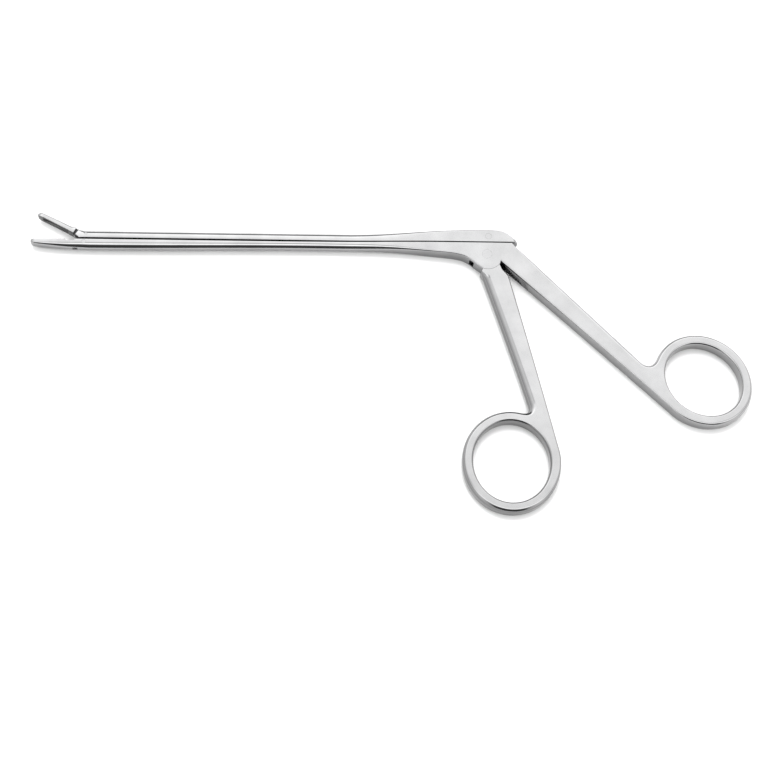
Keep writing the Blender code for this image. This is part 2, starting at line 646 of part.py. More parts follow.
def make_sliding_shaft(material, parts, tools, frame):
    mesh = rounded_plate(slide_outline(), [], HALF_BODY, slide_rim)
    crown_sides(mesh, TIP_X)
    origin = (0.0, 0.0)
    slide = add_part("sliding_shaft", mesh, origin, material, parts, frame)
    foot_top, foot_bottom = guide_levels()
    for number, place in enumerate(GUIDE_PLACES):
        span = (-place - GUIDE_LENGTH / 2, -place + GUIDE_LENGTH / 2)
        neck = box_mesh(origin, span, (foot_top - 0.1, SEAT_TOP + 0.4), GUIDE_NECK_WIDTH / 2)
        shape_boolean(slide, f"guide_neck_{number}", neck, tools, "UNION")
        foot = box_mesh(origin, span, (foot_bottom, foot_top), GUIDE_FOOT_WIDTH / 2)
        shape_boolean(slide, f"guide_foot_{number}", foot, tools, "UNION")
    lever_half = LEVER_THICKNESS / 2 + LEVER_CLEARANCE
    pocket_half = LEVER_FORK_WIDTH / 2 + POCKET_CLEARANCE
    pocket = (DRIVE_PIN[0] - pocket_half, DRIVE_PIN[0] + pocket_half)
    ceiling = LEVER_ARM + LEVER_FORK_TOP + POCKET_HEADROOM
    shape_boolean(slide, "lever_pocket",
                  box_mesh(origin, pocket, (SEAT_TOP - 1.0, ceiling), lever_half), tools)
    shape_boolean(slide, "drive_pin_hole",
                  disc_mesh(origin, DRIVE_PIN, DRIVE_PIN_RADIUS + PIN_CLEARANCE, BODY_THICKNESS), tools)
    tang_half = TANG_THICKNESS / 2 + TANG_CLEARANCE
    fork = (JAW_PIVOT[0] - NOSE_LENGTH - 1.0, LINK_PIN[0] + TANG_SLOT_REAR)
    shape_boolean(slide, "tang_fork",
                  box_mesh(origin, fork, (SEAT_TOP - 1.0, SEAT_TOP + SLIDE_DEPTH + 1.0), tang_half), tools)
    shape_boolean(slide, "link_pin_hole",
                  disc_mesh(origin, LINK_PIN, LINK_PIN_RADIUS + PIN_CLEARANCE, SHAFT_WIDTH), tools)
    return slide


# Upper jaw, drawn closed and then opened about its pivot

def jaw_outline():
    # The bite, the rear face that clears the sliding shaft's nose, the back and the tip.
    top = BITE_HIGH + UPPER_DEPTH_ROOT
    tip = BITE_HIGH + UPPER_DEPTH_TIP
    rear = [(JAW_REAR, BITE_HIGH), (JAW_REAR, BITE_HIGH + 1.5), (JAW_REAR + 0.3, top)]
    return rear + jaw_tip(UPPER_TIP_X, BITE_HIGH, tip)[::-1]


def tip_rim(x, tip):
    # The rounding of a jaw's back, less at the tip.
    return TIP_ROUND + (JAW_ROUND - TIP_ROUND) * smooth_step(x, tip + TIP_REACH, tip + TIP_LENGTH)


def jaw_rim(x, y):
    if y < BITE_HIGH + 0.3 or x > JAW_REAR - 0.1:
        return SEAT_EDGE
    return tip_rim(x, UPPER_TIP_X)


def tang_outline():
    # Round about the pivot and the link pin, with a neck forward into the jaw.
    lean = math.atan2(HALF_STROKE, JAW_ARM)
    arm = math.hypot(JAW_ARM, HALF_STROKE)
    link = (JAW_PIVOT[0] - arm * math.sin(lean), JAW_PIVOT[1] + arm * math.cos(lean))
    hub = arc(JAW_PIVOT, TANG_HUB_RADIUS, -125, 20)
    eye = arc(link, TANG_EYE_RADIUS, 10, 110)
    low, high = (BITE_HIGH + rise for rise in TANG_NECK)
    return [(JAW_REAR - TANG_ROOT, low), *hub, *eye, (JAW_REAR - TANG_ROOT, high)]


def make_upper_jaw(material, parts, tools, frame):
    mesh = rounded_plate(jaw_outline(), [], HALF_BODY, jaw_rim)
    crown_sides(mesh, UPPER_TIP_X)
    jaw = add_part("upper_jaw", mesh, JAW_PIVOT, material, parts, frame)
    shape_boolean(jaw, "upper_cup", cup_mesh(JAW_PIVOT, BITE_HIGH), tools)
    shape_boolean(jaw, "upper_teeth", teeth_mesh(JAW_PIVOT, BITE_HIGH), tools)
    shape_boolean(jaw, "tang", flat_mesh(JAW_PIVOT, tang_outline(), TANG_THICKNESS / 2), tools, "UNION")
    shape_boolean(jaw, "tang_pivot_hole",
                  disc_mesh(JAW_PIVOT, JAW_PIVOT, JAW_PIN_RADIUS + PIN_CLEARANCE, SHAFT_WIDTH), tools)
    lean = math.atan2(HALF_STROKE, JAW_ARM)
    radius = LINK_PIN_RADIUS + SLOT_CLEARANCE
    ends = []
    for reach in (JAW_ARM - 0.1, math.hypot(JAW_ARM, HALF_STROKE) + 0.1):
        ends.append((JAW_PIVOT[0] - reach * math.sin(lean), JAW_PIVOT[1] + reach * math.cos(lean)))
    turn = math.degrees(lean)
    eye = arc(ends[0], radius, turn + 180, turn + 360) + arc(ends[1], radius, turn, turn + 180)
    shape_boolean(jaw, "link_eye", flat_mesh(JAW_PIVOT, eye, SHAFT_WIDTH), tools)
    jaw.rotation_euler.z = -math.radians(JAW_OPEN_ANGLE)
    return jaw


# Front handle: finger ring, handle and forked lever

def front_outline():
    shoulder = arc((0, 0), HOUSING_RADIUS + SHOULDER_GAP,
                   HOUSING_ARC_END - SHOULDER_STOPS[0], HOUSING_ARC_START + SHOULDER_STOPS[1])
    ring = oval(FRONT_RING_CENTRE, ring_outer(FRONT_RING_HALF), FRONT_RING_TILT, 76, 376)
    turn, low = FRONT_HANDLE_LEFT
    left = bend(FRONT_HANDLE_TOP, turn, low, 8)
    crotch = bend(low, FRONT_CROTCH, ring[0], 4)
    high, turn = FRONT_HANDLE_RIGHT
    right = bend(ring[-1], turn, high, 8)[1:]
    return [*shoulder, *left, *crotch, *ring, *right, high, FRONT_HANDLE_STEP, (5.3, -5.9), (4.5, -5.1)]


def front_rim(x, y):
    radius = math.hypot(x, y)
    if radius < HOUSING_RADIUS + SHOULDER_GAP + 0.4:
        return SEAT_EDGE
    return HOUSING_EDGE + (EDGE_ROUND - HOUSING_EDGE) * smooth_step(radius, 5.5, 8.0)


def lever_outline():
    # The hub and the upright fork, with the fork's middle line leaning back by half the swing.
    half = LEVER_FORK_WIDTH / 2
    top = LEVER_ARM + LEVER_FORK_TOP
    slot = DRIVE_PIN_RADIUS + SLOT_CLEARANCE
    slot_floor = LEVER_ARM - 0.2
    fork = [(-half, 2.0), (-half, top - 0.5), (-half + 0.4, top), (-slot, top),
            *arc((0, slot_floor), slot, 180, 360),
            (slot, top), (half - 0.4, top), (half, top - 0.5), (half, 2.0)]
    turn = Matrix.Rotation(-LEVER_SWING, 2)
    leant = [tuple(turn @ Vector(point)) for point in fork]
    root = [(3.9, -3.5), (4.6, -8.5), (0.6, -8.5), (-0.9, -4.6)]
    return [*leant, *arc((0, 0), LEVER_HUB_RADIUS, 30, -30), *root,
            *arc((0, 0), LEVER_HUB_RADIUS, 215, 150)]


def make_front_handle(material, parts, tools, frame):
    hole = ring_hole(FRONT_RING_CENTRE, FRONT_RING_HALF, FRONT_RING_TILT)
    mesh = rounded_plate(front_outline(), [hole], HALF_BODY, front_rim)
    origin = (0.0, 0.0)
    handle = add_part("front_handle", mesh, origin, material, parts, frame)
    shape_boolean(handle, "lever", flat_mesh(origin, lever_outline(), LEVER_THICKNESS / 2), tools, "UNION")
    shape_boolean(handle, "lever_pivot_hole",
                  disc_mesh(origin, (0, 0), HANDLE_PIN_RADIUS + PIN_CLEARANCE, BODY_THICKNESS), tools)
    return handle


# Pins

def crowned_half(y):
    share = (y - OVAL_MIDDLE) / OVAL_HALF
    return SHAFT_WIDTH / 2 * (1 - SIDE_CROWN * share * share)


def make_pin(name, centre, radius, half_length, material, parts, frame):
    mesh = disc_mesh(centre, centre, radius, half_length - PIN_SET_BACK)
    mesh.name = name
    mesh.materials.append(material)
    mesh.shade_smooth()
    mesh.set_sharp_from_angle(angle=math.radians(35.0))
    pin = bpy.data.objects.new(name, mesh)
    pin.location = (centre[0] * MM, centre[1] * MM, 0.0)
    pin.parent = frame
    parts.objects.link(pin)
    return pin


def centre_on_footprint(parts, frame):
    # Stands the instrument on z = 0 with the middle of its footprint over the origin.
    bpy.context.view_layer.update()
    graph = bpy.context.evaluated_depsgraph_get()
    corners = []
    for obj in parts.objects:
        if obj.type != "MESH":
            continue
        shape = obj.evaluated_get(graph)
        corners.extend(obj.matrix_world @ v.co for v in shape.data.vertices)
    low = [min(c[i] for c in corners) for i in range(3)]
    high = [max(c[i] for c in corners) for i in range(3)]
    frame.location = (-(low[0] + high[0]) / 2, -(low[1] + high[1]) / 2, -low[2])
    bpy.context.view_layer.update()


def main():
    clear_scene()
    parts = new_collection("rongeur")
    tools = new_collection("cutters")
    frame = bpy.data.objects.new("rongeur_frame", None)
    parts.objects.link(frame)
    satin = steel("satin_steel", (0.74, 0.74, 0.75), 0.3)
    handle_steel = steel("handle_steel", (0.76, 0.76, 0.77), 0.27)
    jaw_steel = steel("jaw_steel", (0.70, 0.70, 0.71), 0.33)
    pin_steel = steel("pin_steel", (0.72, 0.72, 0.73), 0.3)
    make_fixed_shank(satin, parts, tools, frame)
    make_sliding_shaft(satin, parts, tools, frame)
    make_upper_jaw(jaw_steel, parts, tools, frame)
    make_front_handle(handle_steel, parts, tools, frame)
    make_pin("handle_pivot_pin", (0.0, 0.0), HANDLE_PIN_RADIUS, HALF_BODY, pin_steel, parts, frame)
    make_pin("drive_pin", DRIVE_PIN, DRIVE_PIN_RADIUS, HALF_BODY, pin_steel, parts, frame)
    for name, centre, radius in (("jaw_pivot_pin", JAW_PIVOT, JAW_PIN_RADIUS),
                                 ("jaw_link_pin", LINK_PIN, LINK_PIN_RADIUS)):
        make_pin(name, centre, radius, crowned_half(centre[1]), pin_steel, parts, frame)
    centre_on_footprint(parts, frame)


main()
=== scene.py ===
import json
import math

import bmesh
import bpy
import numpy as np
from bpy.props import FloatProperty, FloatVectorProperty, IntProperty, PointerProperty
from mathutils import Matrix, Vector
from mathutils.geometry import delaunay_2d_cdt


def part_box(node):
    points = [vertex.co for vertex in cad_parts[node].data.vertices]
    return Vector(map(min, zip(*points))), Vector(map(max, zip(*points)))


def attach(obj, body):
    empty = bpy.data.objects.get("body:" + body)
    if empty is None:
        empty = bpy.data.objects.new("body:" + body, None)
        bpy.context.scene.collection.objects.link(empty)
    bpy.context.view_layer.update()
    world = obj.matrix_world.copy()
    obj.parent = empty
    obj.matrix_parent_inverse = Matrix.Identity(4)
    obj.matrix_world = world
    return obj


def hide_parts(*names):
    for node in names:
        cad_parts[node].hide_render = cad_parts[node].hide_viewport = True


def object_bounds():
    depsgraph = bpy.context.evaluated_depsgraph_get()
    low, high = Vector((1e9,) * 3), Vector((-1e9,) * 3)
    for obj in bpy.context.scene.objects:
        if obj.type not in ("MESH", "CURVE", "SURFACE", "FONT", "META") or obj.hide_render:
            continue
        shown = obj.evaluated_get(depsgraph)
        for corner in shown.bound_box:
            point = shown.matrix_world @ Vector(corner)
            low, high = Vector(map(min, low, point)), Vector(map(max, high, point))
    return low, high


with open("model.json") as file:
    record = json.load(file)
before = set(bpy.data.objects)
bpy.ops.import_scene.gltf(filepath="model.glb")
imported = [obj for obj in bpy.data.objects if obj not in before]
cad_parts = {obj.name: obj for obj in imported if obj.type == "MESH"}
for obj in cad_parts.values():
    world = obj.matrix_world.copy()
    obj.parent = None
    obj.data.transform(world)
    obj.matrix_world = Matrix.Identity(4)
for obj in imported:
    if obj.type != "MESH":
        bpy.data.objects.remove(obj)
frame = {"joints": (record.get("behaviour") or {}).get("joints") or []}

bl_info = {
    "name": "Rongeur",
    "version": (1, 0, 0),
    "blender": (4, 5, 0),
    "location": "3D View > Sidebar > Rongeur",
    "description": "Ring-handled rongeur with a sliding shaft and serrated cup jaws",
    "category": "Object",
}

CAD_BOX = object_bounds()
JOINTS = {joint["name"]: joint for joint in frame["joints"]}
PIVOT = Vector(JOINTS["handle_hinge"]["pos_m"])
MM = 0.001
HALF_BODY = (CAD_BOX[1].z - CAD_BOX[0].z) / 2 / MM


def from_pivot(point):
    """A world point in millimetres from the handle pivot."""
    offset = (Vector(point) - PIVOT) / MM
    return (offset.x, offset.y)


def node_centre(node):
    low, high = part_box(node)
    return from_pivot((low + high) / 2)


JAW_PIVOT = from_pivot(JOINTS["jaw_hinge"]["pos_m"])
JAW_OPEN = math.radians(JOINTS["jaw_hinge"]["range_deg"][1])
LINK_PIN = node_centre("jaw_link_pin")
DRIVE_PIN = node_centre("drive_pin")
TIP_X = from_pivot(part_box("fixed_shank")[0])[0]

# Levels and places, in millimetres from the handle pivot
SEAT_TOP = 4.2
SEAT_BOTTOM = 3.9
BITE_LOW = 3.7
BITE_HIGH = 3.85
BITE_REAR = TIP_X + 10.4
JAW_REAR = BITE_REAR + 1.65
UPPER_TIP = TIP_X - 0.7
HOUSING_REAR = 7.8
SLIDE_NOSE = JAW_PIVOT[0] - 2.7
SLIDE_TAIL = HOUSING_REAR + 2.0
TAPER_START = TIP_X + 16.2
FLARE_START, FLARE_END = -45.0, -13.0
HOUSING_ARC, SHOULDER_ARC = 4.95, 5.0
REAR_RING, REAR_RING_HALF, REAR_RING_TILT = (65.0, -40.6), (13.95, 12.45), -41.0
FRONT_RING, FRONT_RING_HALF = (5.2, -66.95), (13.2, 14.28)
RING_TRIM = 0.03

# Pins, forks and slots, in millimetres
PIN_RADIUS = {"handle_pivot_pin": 1.5, "drive_pin": 1.0, "jaw_pivot_pin": 0.6, "jaw_link_pin": 0.5}
PIN_BEVEL = {"handle_pivot_pin": 0.01, "drive_pin": 0.02, "jaw_pivot_pin": 0.01, "jaw_link_pin": 0.01}
PIN_BODY = {"handle_pivot_pin": "shank", "drive_pin": "slide",
            "jaw_pivot_pin": "shank", "jaw_link_pin": "slide"}
PIN_CLEARANCE = 0.01
LINK_CLEARANCE = 0.06
PIN_PROUD = 0.045
FORK_HALF = 0.85
TANG_HALF = 0.7
LEVER_CLEARANCE = 0.15
HUB_RADIUS = 3.5
HUB_ROOM = 4.4
THROUGH = 5.0
NOTCH_WIDTH = 6.0 * MM

# Roundings in millimetres, across the face and down from it, and how the shafts' ends and sides round off
SHARP = (0.07, 0.08)
HINGE_LINE = (0.03, 0.03)
SLIDE_SEAT = (0.35, 0.35)
WIDE_RISE = 2.4
RING_RISE = 1.5
HOLE_RISE = 1.1
CRISP_RISE = 1.4
SIDE_RISE = 2.35
TIP_ROUND, BLUNTEST = 2.2, 0.96
TAIL_ROUND = 2.0
CROWN = 0.3

# Steps and tolerances of curves and meshes, in millimetres and degrees
CURVE_STEPS = 6
RIM_STEPS = 8
SAME_PLACE = 0.004
FACE_MARGIN = 0.06
GRID_MARGIN = 0.16
GRID_ALONG, GRID_TAIL, GRID_UP, GRID_STAGGER = 0.8, 0.25, 0.32, 0.1
MITRE_LIMIT = 0.6
MANY_SIDES, FEW_SIDES = 96, 48
CREASE = 32.0


# Settings

def length(name, description, default):
    return FloatProperty(name=name, description=description, default=default * MM, min=0.0,
                         precision=5, unit="LENGTH", subtype="DISTANCE")


class RongeurShaft(bpy.types.PropertyGroup):
    width: length("Shaft width", "Thickness of the long shafts, seen from the jaws", 3.5)
    slide_depth: length("Sliding shaft depth", "Height of the sliding shaft over its seat", 2.75)
    depth_front: length("Lower shaft depth", "Height of the lower shaft behind the jaws", 3.05)
    depth_rear: length("Lower shaft depth at rear", "Height of the lower shaft before the housing", 2.35)
    edge_round: length("Edge rounding", "Rounding along the shafts' outer edges", 1.65)
    housing_edge: length("Housing edge", "Rounding along the housing's edges", 0.4)


class RongeurJaws(bpy.types.PropertyGroup):
    tooth_pitch: length("Tooth pitch", "From one serration to the next", 0.55)
    tooth_depth: length("Tooth depth", "Depth of a serration", 0.22)
    teeth: IntProperty(name="Teeth", description="Serrations in each bite", default=16, min=2, max=40)
    cup_length: length("Cup length", "Hollow in each bite, along the jaw", 8.2)
    cup_width: length("Cup width", "Hollow in each bite, across the jaw", 2.1)
    cup_depth: length("Cup depth", "Depth of the hollow in each bite", 1.0)


class RongeurHandles(bpy.types.PropertyGroup):
    ring_wall: length("Ring wall", "Width of the finger rings' bows", 3.3)
    ring_round: length("Ring rounding", "Rounding of the rings' outer edges", 1.05)
    hole_round: length("Ring hole rounding", "Rounding of the rings' inner edges", 0.7)
    side_round: length("Handle rounding", "Wide rounding along the front handle's outer side", 2.0)
    crisp_edge: length("Crisp edge", "Small rounding along the handles' inner sides", 0.48)
    lever: length("Lever thickness", "Lever between the housing's cheeks", 3.3)


class RongeurFinish(bpy.types.PropertyGroup):
    steel: FloatVectorProperty(name="Steel", description="Colour of the satin steel", subtype="COLOR",
                               size=3, min=0.0, max=1.0, default=(0.4, 0.4, 0.403))
    roughness: FloatProperty(name="Roughness", description="Roughness of the satin steel",
                             default=0.1, min=0.0, max=1.0, subtype="FACTOR")
    grain: FloatProperty(name="Grain", description="Strength of the polishing marks",
                         default=0.05, min=0.0, max=1.0, subtype="FACTOR")


class RongeurStage(bpy.types.PropertyGroup):
    floor: FloatVectorProperty(name="Floor", description="Colour of the floor", subtype="COLOR",
                               size=3, min=0.0, max=1.0, default=(0.85, 0.85, 0.85))
    studio: FloatProperty(name="Studio light", description="Strength of the soft light all round",
                          default=2.75, min=0.0, max=10.0)
    overhead: FloatProperty(name="Overhead light", description="Strength of the light that casts the shadow",
                            default=1.2, min=0.0, max=20.0)


def mm(value):
    return value / MM


# Outlines, in millimetres from the handle pivot. A station is (x, y, rounding seen from above, its height)

def smooth_step(value, start, end):
    share = min(max((value - start) / (end - start), 0.0), 1.0)
    return share * share * (3 - 2 * share)


def curve(points):
    """Points of a Catmull-Rom curve through the given ones."""
    pts = [Vector(p) for p in points]
    pts = [2 * pts[0] - pts[1], *pts, 2 * pts[-1] - pts[-2]]
    path = []
    for i in range(1, len(pts) - 2):
        a, b, c, d = pts[i - 1:i + 3]
        for k in range(CURVE_STEPS):
            t = k / CURVE_STEPS
            path.append(tuple(0.5 * (2 * b + (c - a) * t + (2 * a - 5 * b + 4 * c - d) * t * t
                                     + (3 * b - a - 3 * c + d) * t ** 3)))
    path.append(tuple(pts[-2]))
    return path


def bend(start, control, end, steps=24):
    return [tuple((1 - t) ** 2 * Vector(start) + 2 * t * (1 - t) * Vector(control) + t * t * Vector(end))
            for t in (k / steps for k in range(steps + 1))]


def oval(centre, half, tilt, start, end, step=3.0):
    count = max(2, round(abs(end - start) / step))
    turn = Matrix.Rotation(math.radians(tilt), 2)
    path = []
    for k in range(count + 1):
        angle = math.radians(start + (end - start) * k / count)
        spoke = Vector((half[0] * math.cos(angle), half[1] * math.sin(angle)))
        path.append(tuple(Vector(centre) + turn @ spoke))
    return path


def section(points, first, last=None):
    """Stations along a path, with the rounding going evenly from one value to the other."""
    last = last or first
    lengths = [0.0]
    for a, b in zip(points, points[1:]):
        lengths.append(lengths[-1] + (Vector(b) - Vector(a)).length)
    total = lengths[-1] or 1.0
    return [(*p, *(first[i] + (last[i] - first[i]) * smooth_step(d / total, 0.0, 1.0) for i in range(2)))
            for p, d in zip(points, lengths)]


def join(*sections):
    """One closed outline, with no point twice."""
    stations = []
    for part in sections:
        for station in part:
            if not stations or (Vector(station[:2]) - Vector(stations[-1][:2])).length > SAME_PLACE:
                stations.append(station)
    if (Vector(stations[0][:2]) - Vector(stations[-1][:2])).length < SAME_PLACE:
        stations.pop()
    return stations


def finer(stations, spacing):
    """The same outline with stations no further apart than spacing gives."""
    fine = []
    for a, b in zip(stations, stations[1:] + stations[:1]):
        gap = (Vector(b[:2]) - Vector(a[:2])).length
        count = max(1, math.ceil(gap / spacing(a[0], a[1])))
        fine += [tuple(p + (q - p) * k / count for p, q in zip(a, b)) for k in range(count)]
    return fine


def signed_area(loop):
    return sum(a[0] * b[1] - b[0] * a[1] for a, b in zip(loop, loop[1:] + loop[:1])) / 2


def inward(loop):
    """For each station, the step into the material on its left that moves both its edges by one."""
    steps = []
    for before, here, after in zip(loop[-1:] + loop[:-1], loop, loop[1:] + loop[:1]):
        first = (Vector(here[:2]) - Vector(before[:2])).normalized()
        second = (Vector(after[:2]) - Vector(here[:2])).normalized()
        normal = Vector((-first.y - second.y, first.x + second.x)).normalized()
        steps.append(normal / max(normal.dot(Vector((-first.y, first.x))), MITRE_LIMIT))
    return steps


def shaft_bottom(x, shaft):
    front, rear = mm(shaft.depth_front), mm(shaft.depth_rear)
    depth = front + (rear - front) * smooth_step(x, TAPER_START, TAPER_START + 70.0)
    return SEAT_BOTTOM - depth - 1.45 * smooth_step(x, -35.0, -5.0) ** 1.3


def slide_top(x, shaft):
    return SEAT_TOP + mm(shaft.slide_depth) + (4.1 - mm(shaft.slide_depth)) * smooth_step(x, -42.0, 2.0)


def jaw_tip(tip, bite, back):
    """The round end of a jaw, from its bite to its back."""
    nose = bite + math.copysign(0.55, back - bite)
    return (oval((tip + 0.55, nose), (0.55, bite - nose), 0.0, 90, 180, 9)
            + oval((tip + 1.5, nose), (1.5, nose - back), 0.0, 180, 270, 6))


def crisp_rounding(handles):
    return (mm(handles.crisp_edge), mm(handles.crisp_edge) * CRISP_RISE)


def ring_outside(middle, handles):
    """Half-axes of a ring's outside, a little inside the solid's."""
    return tuple(half - RING_TRIM + mm(handles.ring_wall) / 2 for half in middle)


def shank_outline(scene):
    shaft, handles = scene.rongeur_shaft, scene.rongeur_handles
    edge, inner = mm(shaft.housing_edge), crisp_rounding(handles)
    wide, small = (mm(shaft.edge_round), WIDE_RISE), (edge, edge * 1.3)
    relief, back = BITE_LOW - 0.55, BITE_LOW - 1.65
    ramp, heel = BITE_REAR + 2.0, (BITE_REAR + 0.5, relief)
    tip, nose = jaw_tip(TIP_X, BITE_LOW, back), (0.7, 1.4)
    jaw_end = JAW_PIVOT[0] + 1.5
    jaw_bottom = [tip[-1], (TIP_X + 3.2, back - 0.28), (BITE_REAR, BITE_LOW - 2.57),
                  (JAW_PIVOT[0] - 1.0, 0.94), (jaw_end, shaft_bottom(jaw_end, shaft))]
    low = [(x, shaft_bottom(x, shaft)) for x in np.arange(jaw_end, FLARE_START + 0.1, 2.0)]
    flare = [(x, shaft_bottom(x, shaft)) for x in np.arange(FLARE_START + 0.7, FLARE_END + 0.1, 1.0)]
    drop = flare[-1][1]
    end = oval((0, 0), (HOUSING_ARC, HOUSING_ARC), 0.0, 252, 322)
    belly = curve([flare[-1], (-10.3, drop - 0.35), (-7.7, drop - 0.95), (-6.2, drop - 1.6),
                   (-4.7, drop - 2.6), (-3.2, drop - 3.9), end[0]])
    ring = oval(REAR_RING, ring_outside(REAR_RING_HALF, handles), REAR_RING_TILT, -98, 195)
    under = bend((4.3, -2.35), (24.0, -20.7), ring[0])
    top_line = [(HOUSING_REAR + d, SEAT_BOTTOM - 1.025 * d + 0.35 * smooth_step(d, 0.0, 7.8))
                for d in (38.6, 34, 30, 26, 22, 18, 14, 10, 7.5, 5, 3, 1.5, 0)]
    crotch = bend(ring[-1], (49.4, -37.4), top_line[0], 14)
    rounded, seat, spine = (mm(handles.ring_round), RING_RISE), (0.3, 0.6), (1.0, 1.1)
    return join(
        section([(HOUSING_REAR, SEAT_BOTTOM), (-30.0, SEAT_BOTTOM)], SHARP),
        section([(-30.0, SEAT_BOTTOM), (-60.0, SEAT_BOTTOM)], SHARP, seat),
        section([(-60.0, SEAT_BOTTOM), (ramp + 1.6, SEAT_BOTTOM)], seat),
        section(curve([(ramp + 1.6, SEAT_BOTTOM), (ramp + 0.8, relief + 0.2), (ramp, relief), heel]), SHARP),
        section([heel, (BITE_REAR, BITE_LOW), tip[0]], (0.14, 0.18)),
        section(tip, SHARP, nose),
        section(curve(jaw_bottom), nose, wide),
        section(low, wide),
        section(flare, wide, small),
        section(belly, small),
        section(end, HINGE_LINE),
        section([end[-1], under[0]], SHARP, inner),
        section(under, inner),
        section(ring[:34], inner, rounded),
        section(ring[33:], rounded),
        section(crotch, rounded),
        section(top_line[:8], (1.2, 1.3), spine),
        section(top_line[7:], spine, small),
    )


def ring_hole(centre, middle, tilt, handles):
    wall = mm(handles.ring_wall) / 2
    return join(section(oval(centre, (middle[0] - wall, middle[1] - wall), tilt, 0, 360),
                        (mm(handles.hole_round), HOLE_RISE)))


def slide_outline(scene):
    shaft = scene.rongeur_shaft
    wide, small, fine = (mm(shaft.edge_round), WIDE_RISE), (mm(shaft.housing_edge) * 1.4, 0.5), (0.1, 0.14)
    nose, end = SLIDE_NOSE, SLIDE_TAIL
    top, peak = slide_top(nose, shaft), slide_top(2.0, shaft)
    front = [(nose + 1.3, SEAT_TOP), (nose, SEAT_TOP + 1.05), (nose + 0.95, top)]
    long = [(x, slide_top(x, shaft)) for x in np.arange(nose + 0.95, FLARE_START + 0.1, 2.0)]
    flare = [(x, slide_top(x, shaft)) for x in np.arange(FLARE_START + 0.7, -8.0, 1.0)]
    hump = curve([flare[-1], (-3.0, peak - 0.05), (1.5, peak), (end - 5.3, peak - 0.35),
                  (end - 3.4, peak - 1.2), (end - 1.5, peak - 2.7), (end, SEAT_TOP + 0.3)])
    return join(
        section(front, fine, (0.3, 0.9)), section(long, wide),
        section(flare, wide, small), section(hump, small, fine),
        section([hump[-1], (end - 0.05, SEAT_TOP), (FLARE_START, SEAT_TOP)], fine),
        section([(FLARE_START, SEAT_TOP), (-75.0, SEAT_TOP)], fine, SLIDE_SEAT),
        section([(-75.0, SEAT_TOP), (nose + 2.8, SEAT_TOP)], SLIDE_SEAT),
        section([(nose + 2.8, SEAT_TOP), front[0]], SLIDE_SEAT, fine),
    )


def jaw_outline():
    """The upper jaw as it lies when closed."""
    top, back = BITE_HIGH + 2.0, BITE_HIGH + 1.55
    fine, middle, front = (0.07, 0.1), (0.8, 2.2), (0.6, 2.0)
    end = jaw_tip(UPPER_TIP, BITE_HIGH, back)[::-1]
    return join(
        section([(JAW_REAR, BITE_HIGH), (JAW_REAR, top)], fine),
        section([(JAW_REAR - 0.3 * i, top - 0.01 * i) for i in range(6)], fine, middle),
        section(curve([(JAW_REAR - 1.5, top - 0.05), (JAW_REAR - 4.0, top - 0.16),
                       (UPPER_TIP + 3.2, back + 0.08), end[0]]), middle, front),
        section(end, front, fine),
        section([end[-1], (JAW_REAR, BITE_HIGH)], fine),
    )


def front_outline(scene):
    handles = scene.rongeur_handles
    inner, side = crisp_rounding(handles), (mm(handles.side_round), SIDE_RISE)
    shoulder = oval((0, 0), (SHOULDER_ARC, SHOULDER_ARC), 0.0, 318, 254)
    ring = oval(FRONT_RING, ring_outside(FRONT_RING_HALF, handles), 0.0, 76, 376)
    corner, low = (-2.0, -5.75), (11.0, -49.0)
    left = bend(corner, (6.0, -31.0), low)
    crotch = bend(low, (11.7, -52.0), ring[0], 12)
    right = bend(ring[-1], (13.4, -35.5), (6.8, -8.4))
    upper = [(6.8, -8.4), (6.3, -7.0), (5.3, -5.9), (4.5, -5.1), shoulder[0]]
    rounded = (mm(handles.ring_round), RING_RISE)
    bow = (0.95, 1.8)
    return join(
        section(shoulder, HINGE_LINE),
        section([shoulder[-1], corner], SHARP, (0.2, 0.3)),
        section(left, side),
        section(crotch, side, rounded),
        section(ring[:30], rounded, bow),
        section(ring[29:75], bow, rounded),
        section(ring[74:], rounded, inner),
        section(right, inner),
        section(upper, inner, SHARP),
    )


def lever_outline():
    """The hub and the upright fork of the front handle's lever."""
    swing = JOINTS["handle_hinge"]["range_deg"][1] / 2
    top, root, slot, side = DRIVE_PIN[1] + 1.15, 2.0, 1.06, 2.1
    shoulder, chamfer = top - 0.5, side - 0.4
    fork = [(-side, root), (-side, shoulder), (-chamfer, top), (-slot, top),
            *oval((0, DRIVE_PIN[1] - 0.2), (slot, slot), 0.0, 180, 360, 15),
            (slot, top), (chamfer, top), (side, shoulder), (side, root)]
    turn = Matrix.Rotation(-math.radians(swing), 2)
    leant = [tuple(turn @ Vector(point)) for point in fork]
    hub = (HUB_RADIUS, HUB_RADIUS)
    return [*leant, *oval((0, 0), hub, 0.0, 30, -30, 10), (3.9, -3.5), (4.6, -8.5), (0.6, -8.5),
            (-0.9, -4.6), *oval((0, 0), hub, 0.0, 215, 150, 10)]


# Meshes

def inside(points, loops):
    """Which of the points lie inside the outline and outside its holes."""
    result = np.zeros(len(points), bool)
    x, y = points[:, 0], points[:, 1]
    for loop in loops:
        a = np.array(loop)
        b = np.roll(a, -1, axis=0)
        for (x0, y0), (x1, y1) in zip(a, b):
            if y0 != y1:
                crossing = (y0 > y) != (y1 > y)
                result ^= crossing & (x < (x1 - x0) * (y - y0) / (y1 - y0) + x0)
    return result


def nearest(points, loops):
    """Distance from each point to the outlines."""
    best = np.full(len(points), 1e9)
    for loop in loops:
        a = np.array(loop)
        d = np.roll(a, -1, axis=0) - a
        square = np.maximum((d * d).sum(1), 1e-12)
        for (ax, ay), (dx, dy), length2 in zip(a, d, square):
            t = np.clip(((points[:, 0] - ax) * dx + (points[:, 1] - ay) * dy) / length2, 0, 1)
            best = np.minimum(best, np.hypot(points[:, 0] - ax - t * dx, points[:, 1] - ay - t * dy))
    return best


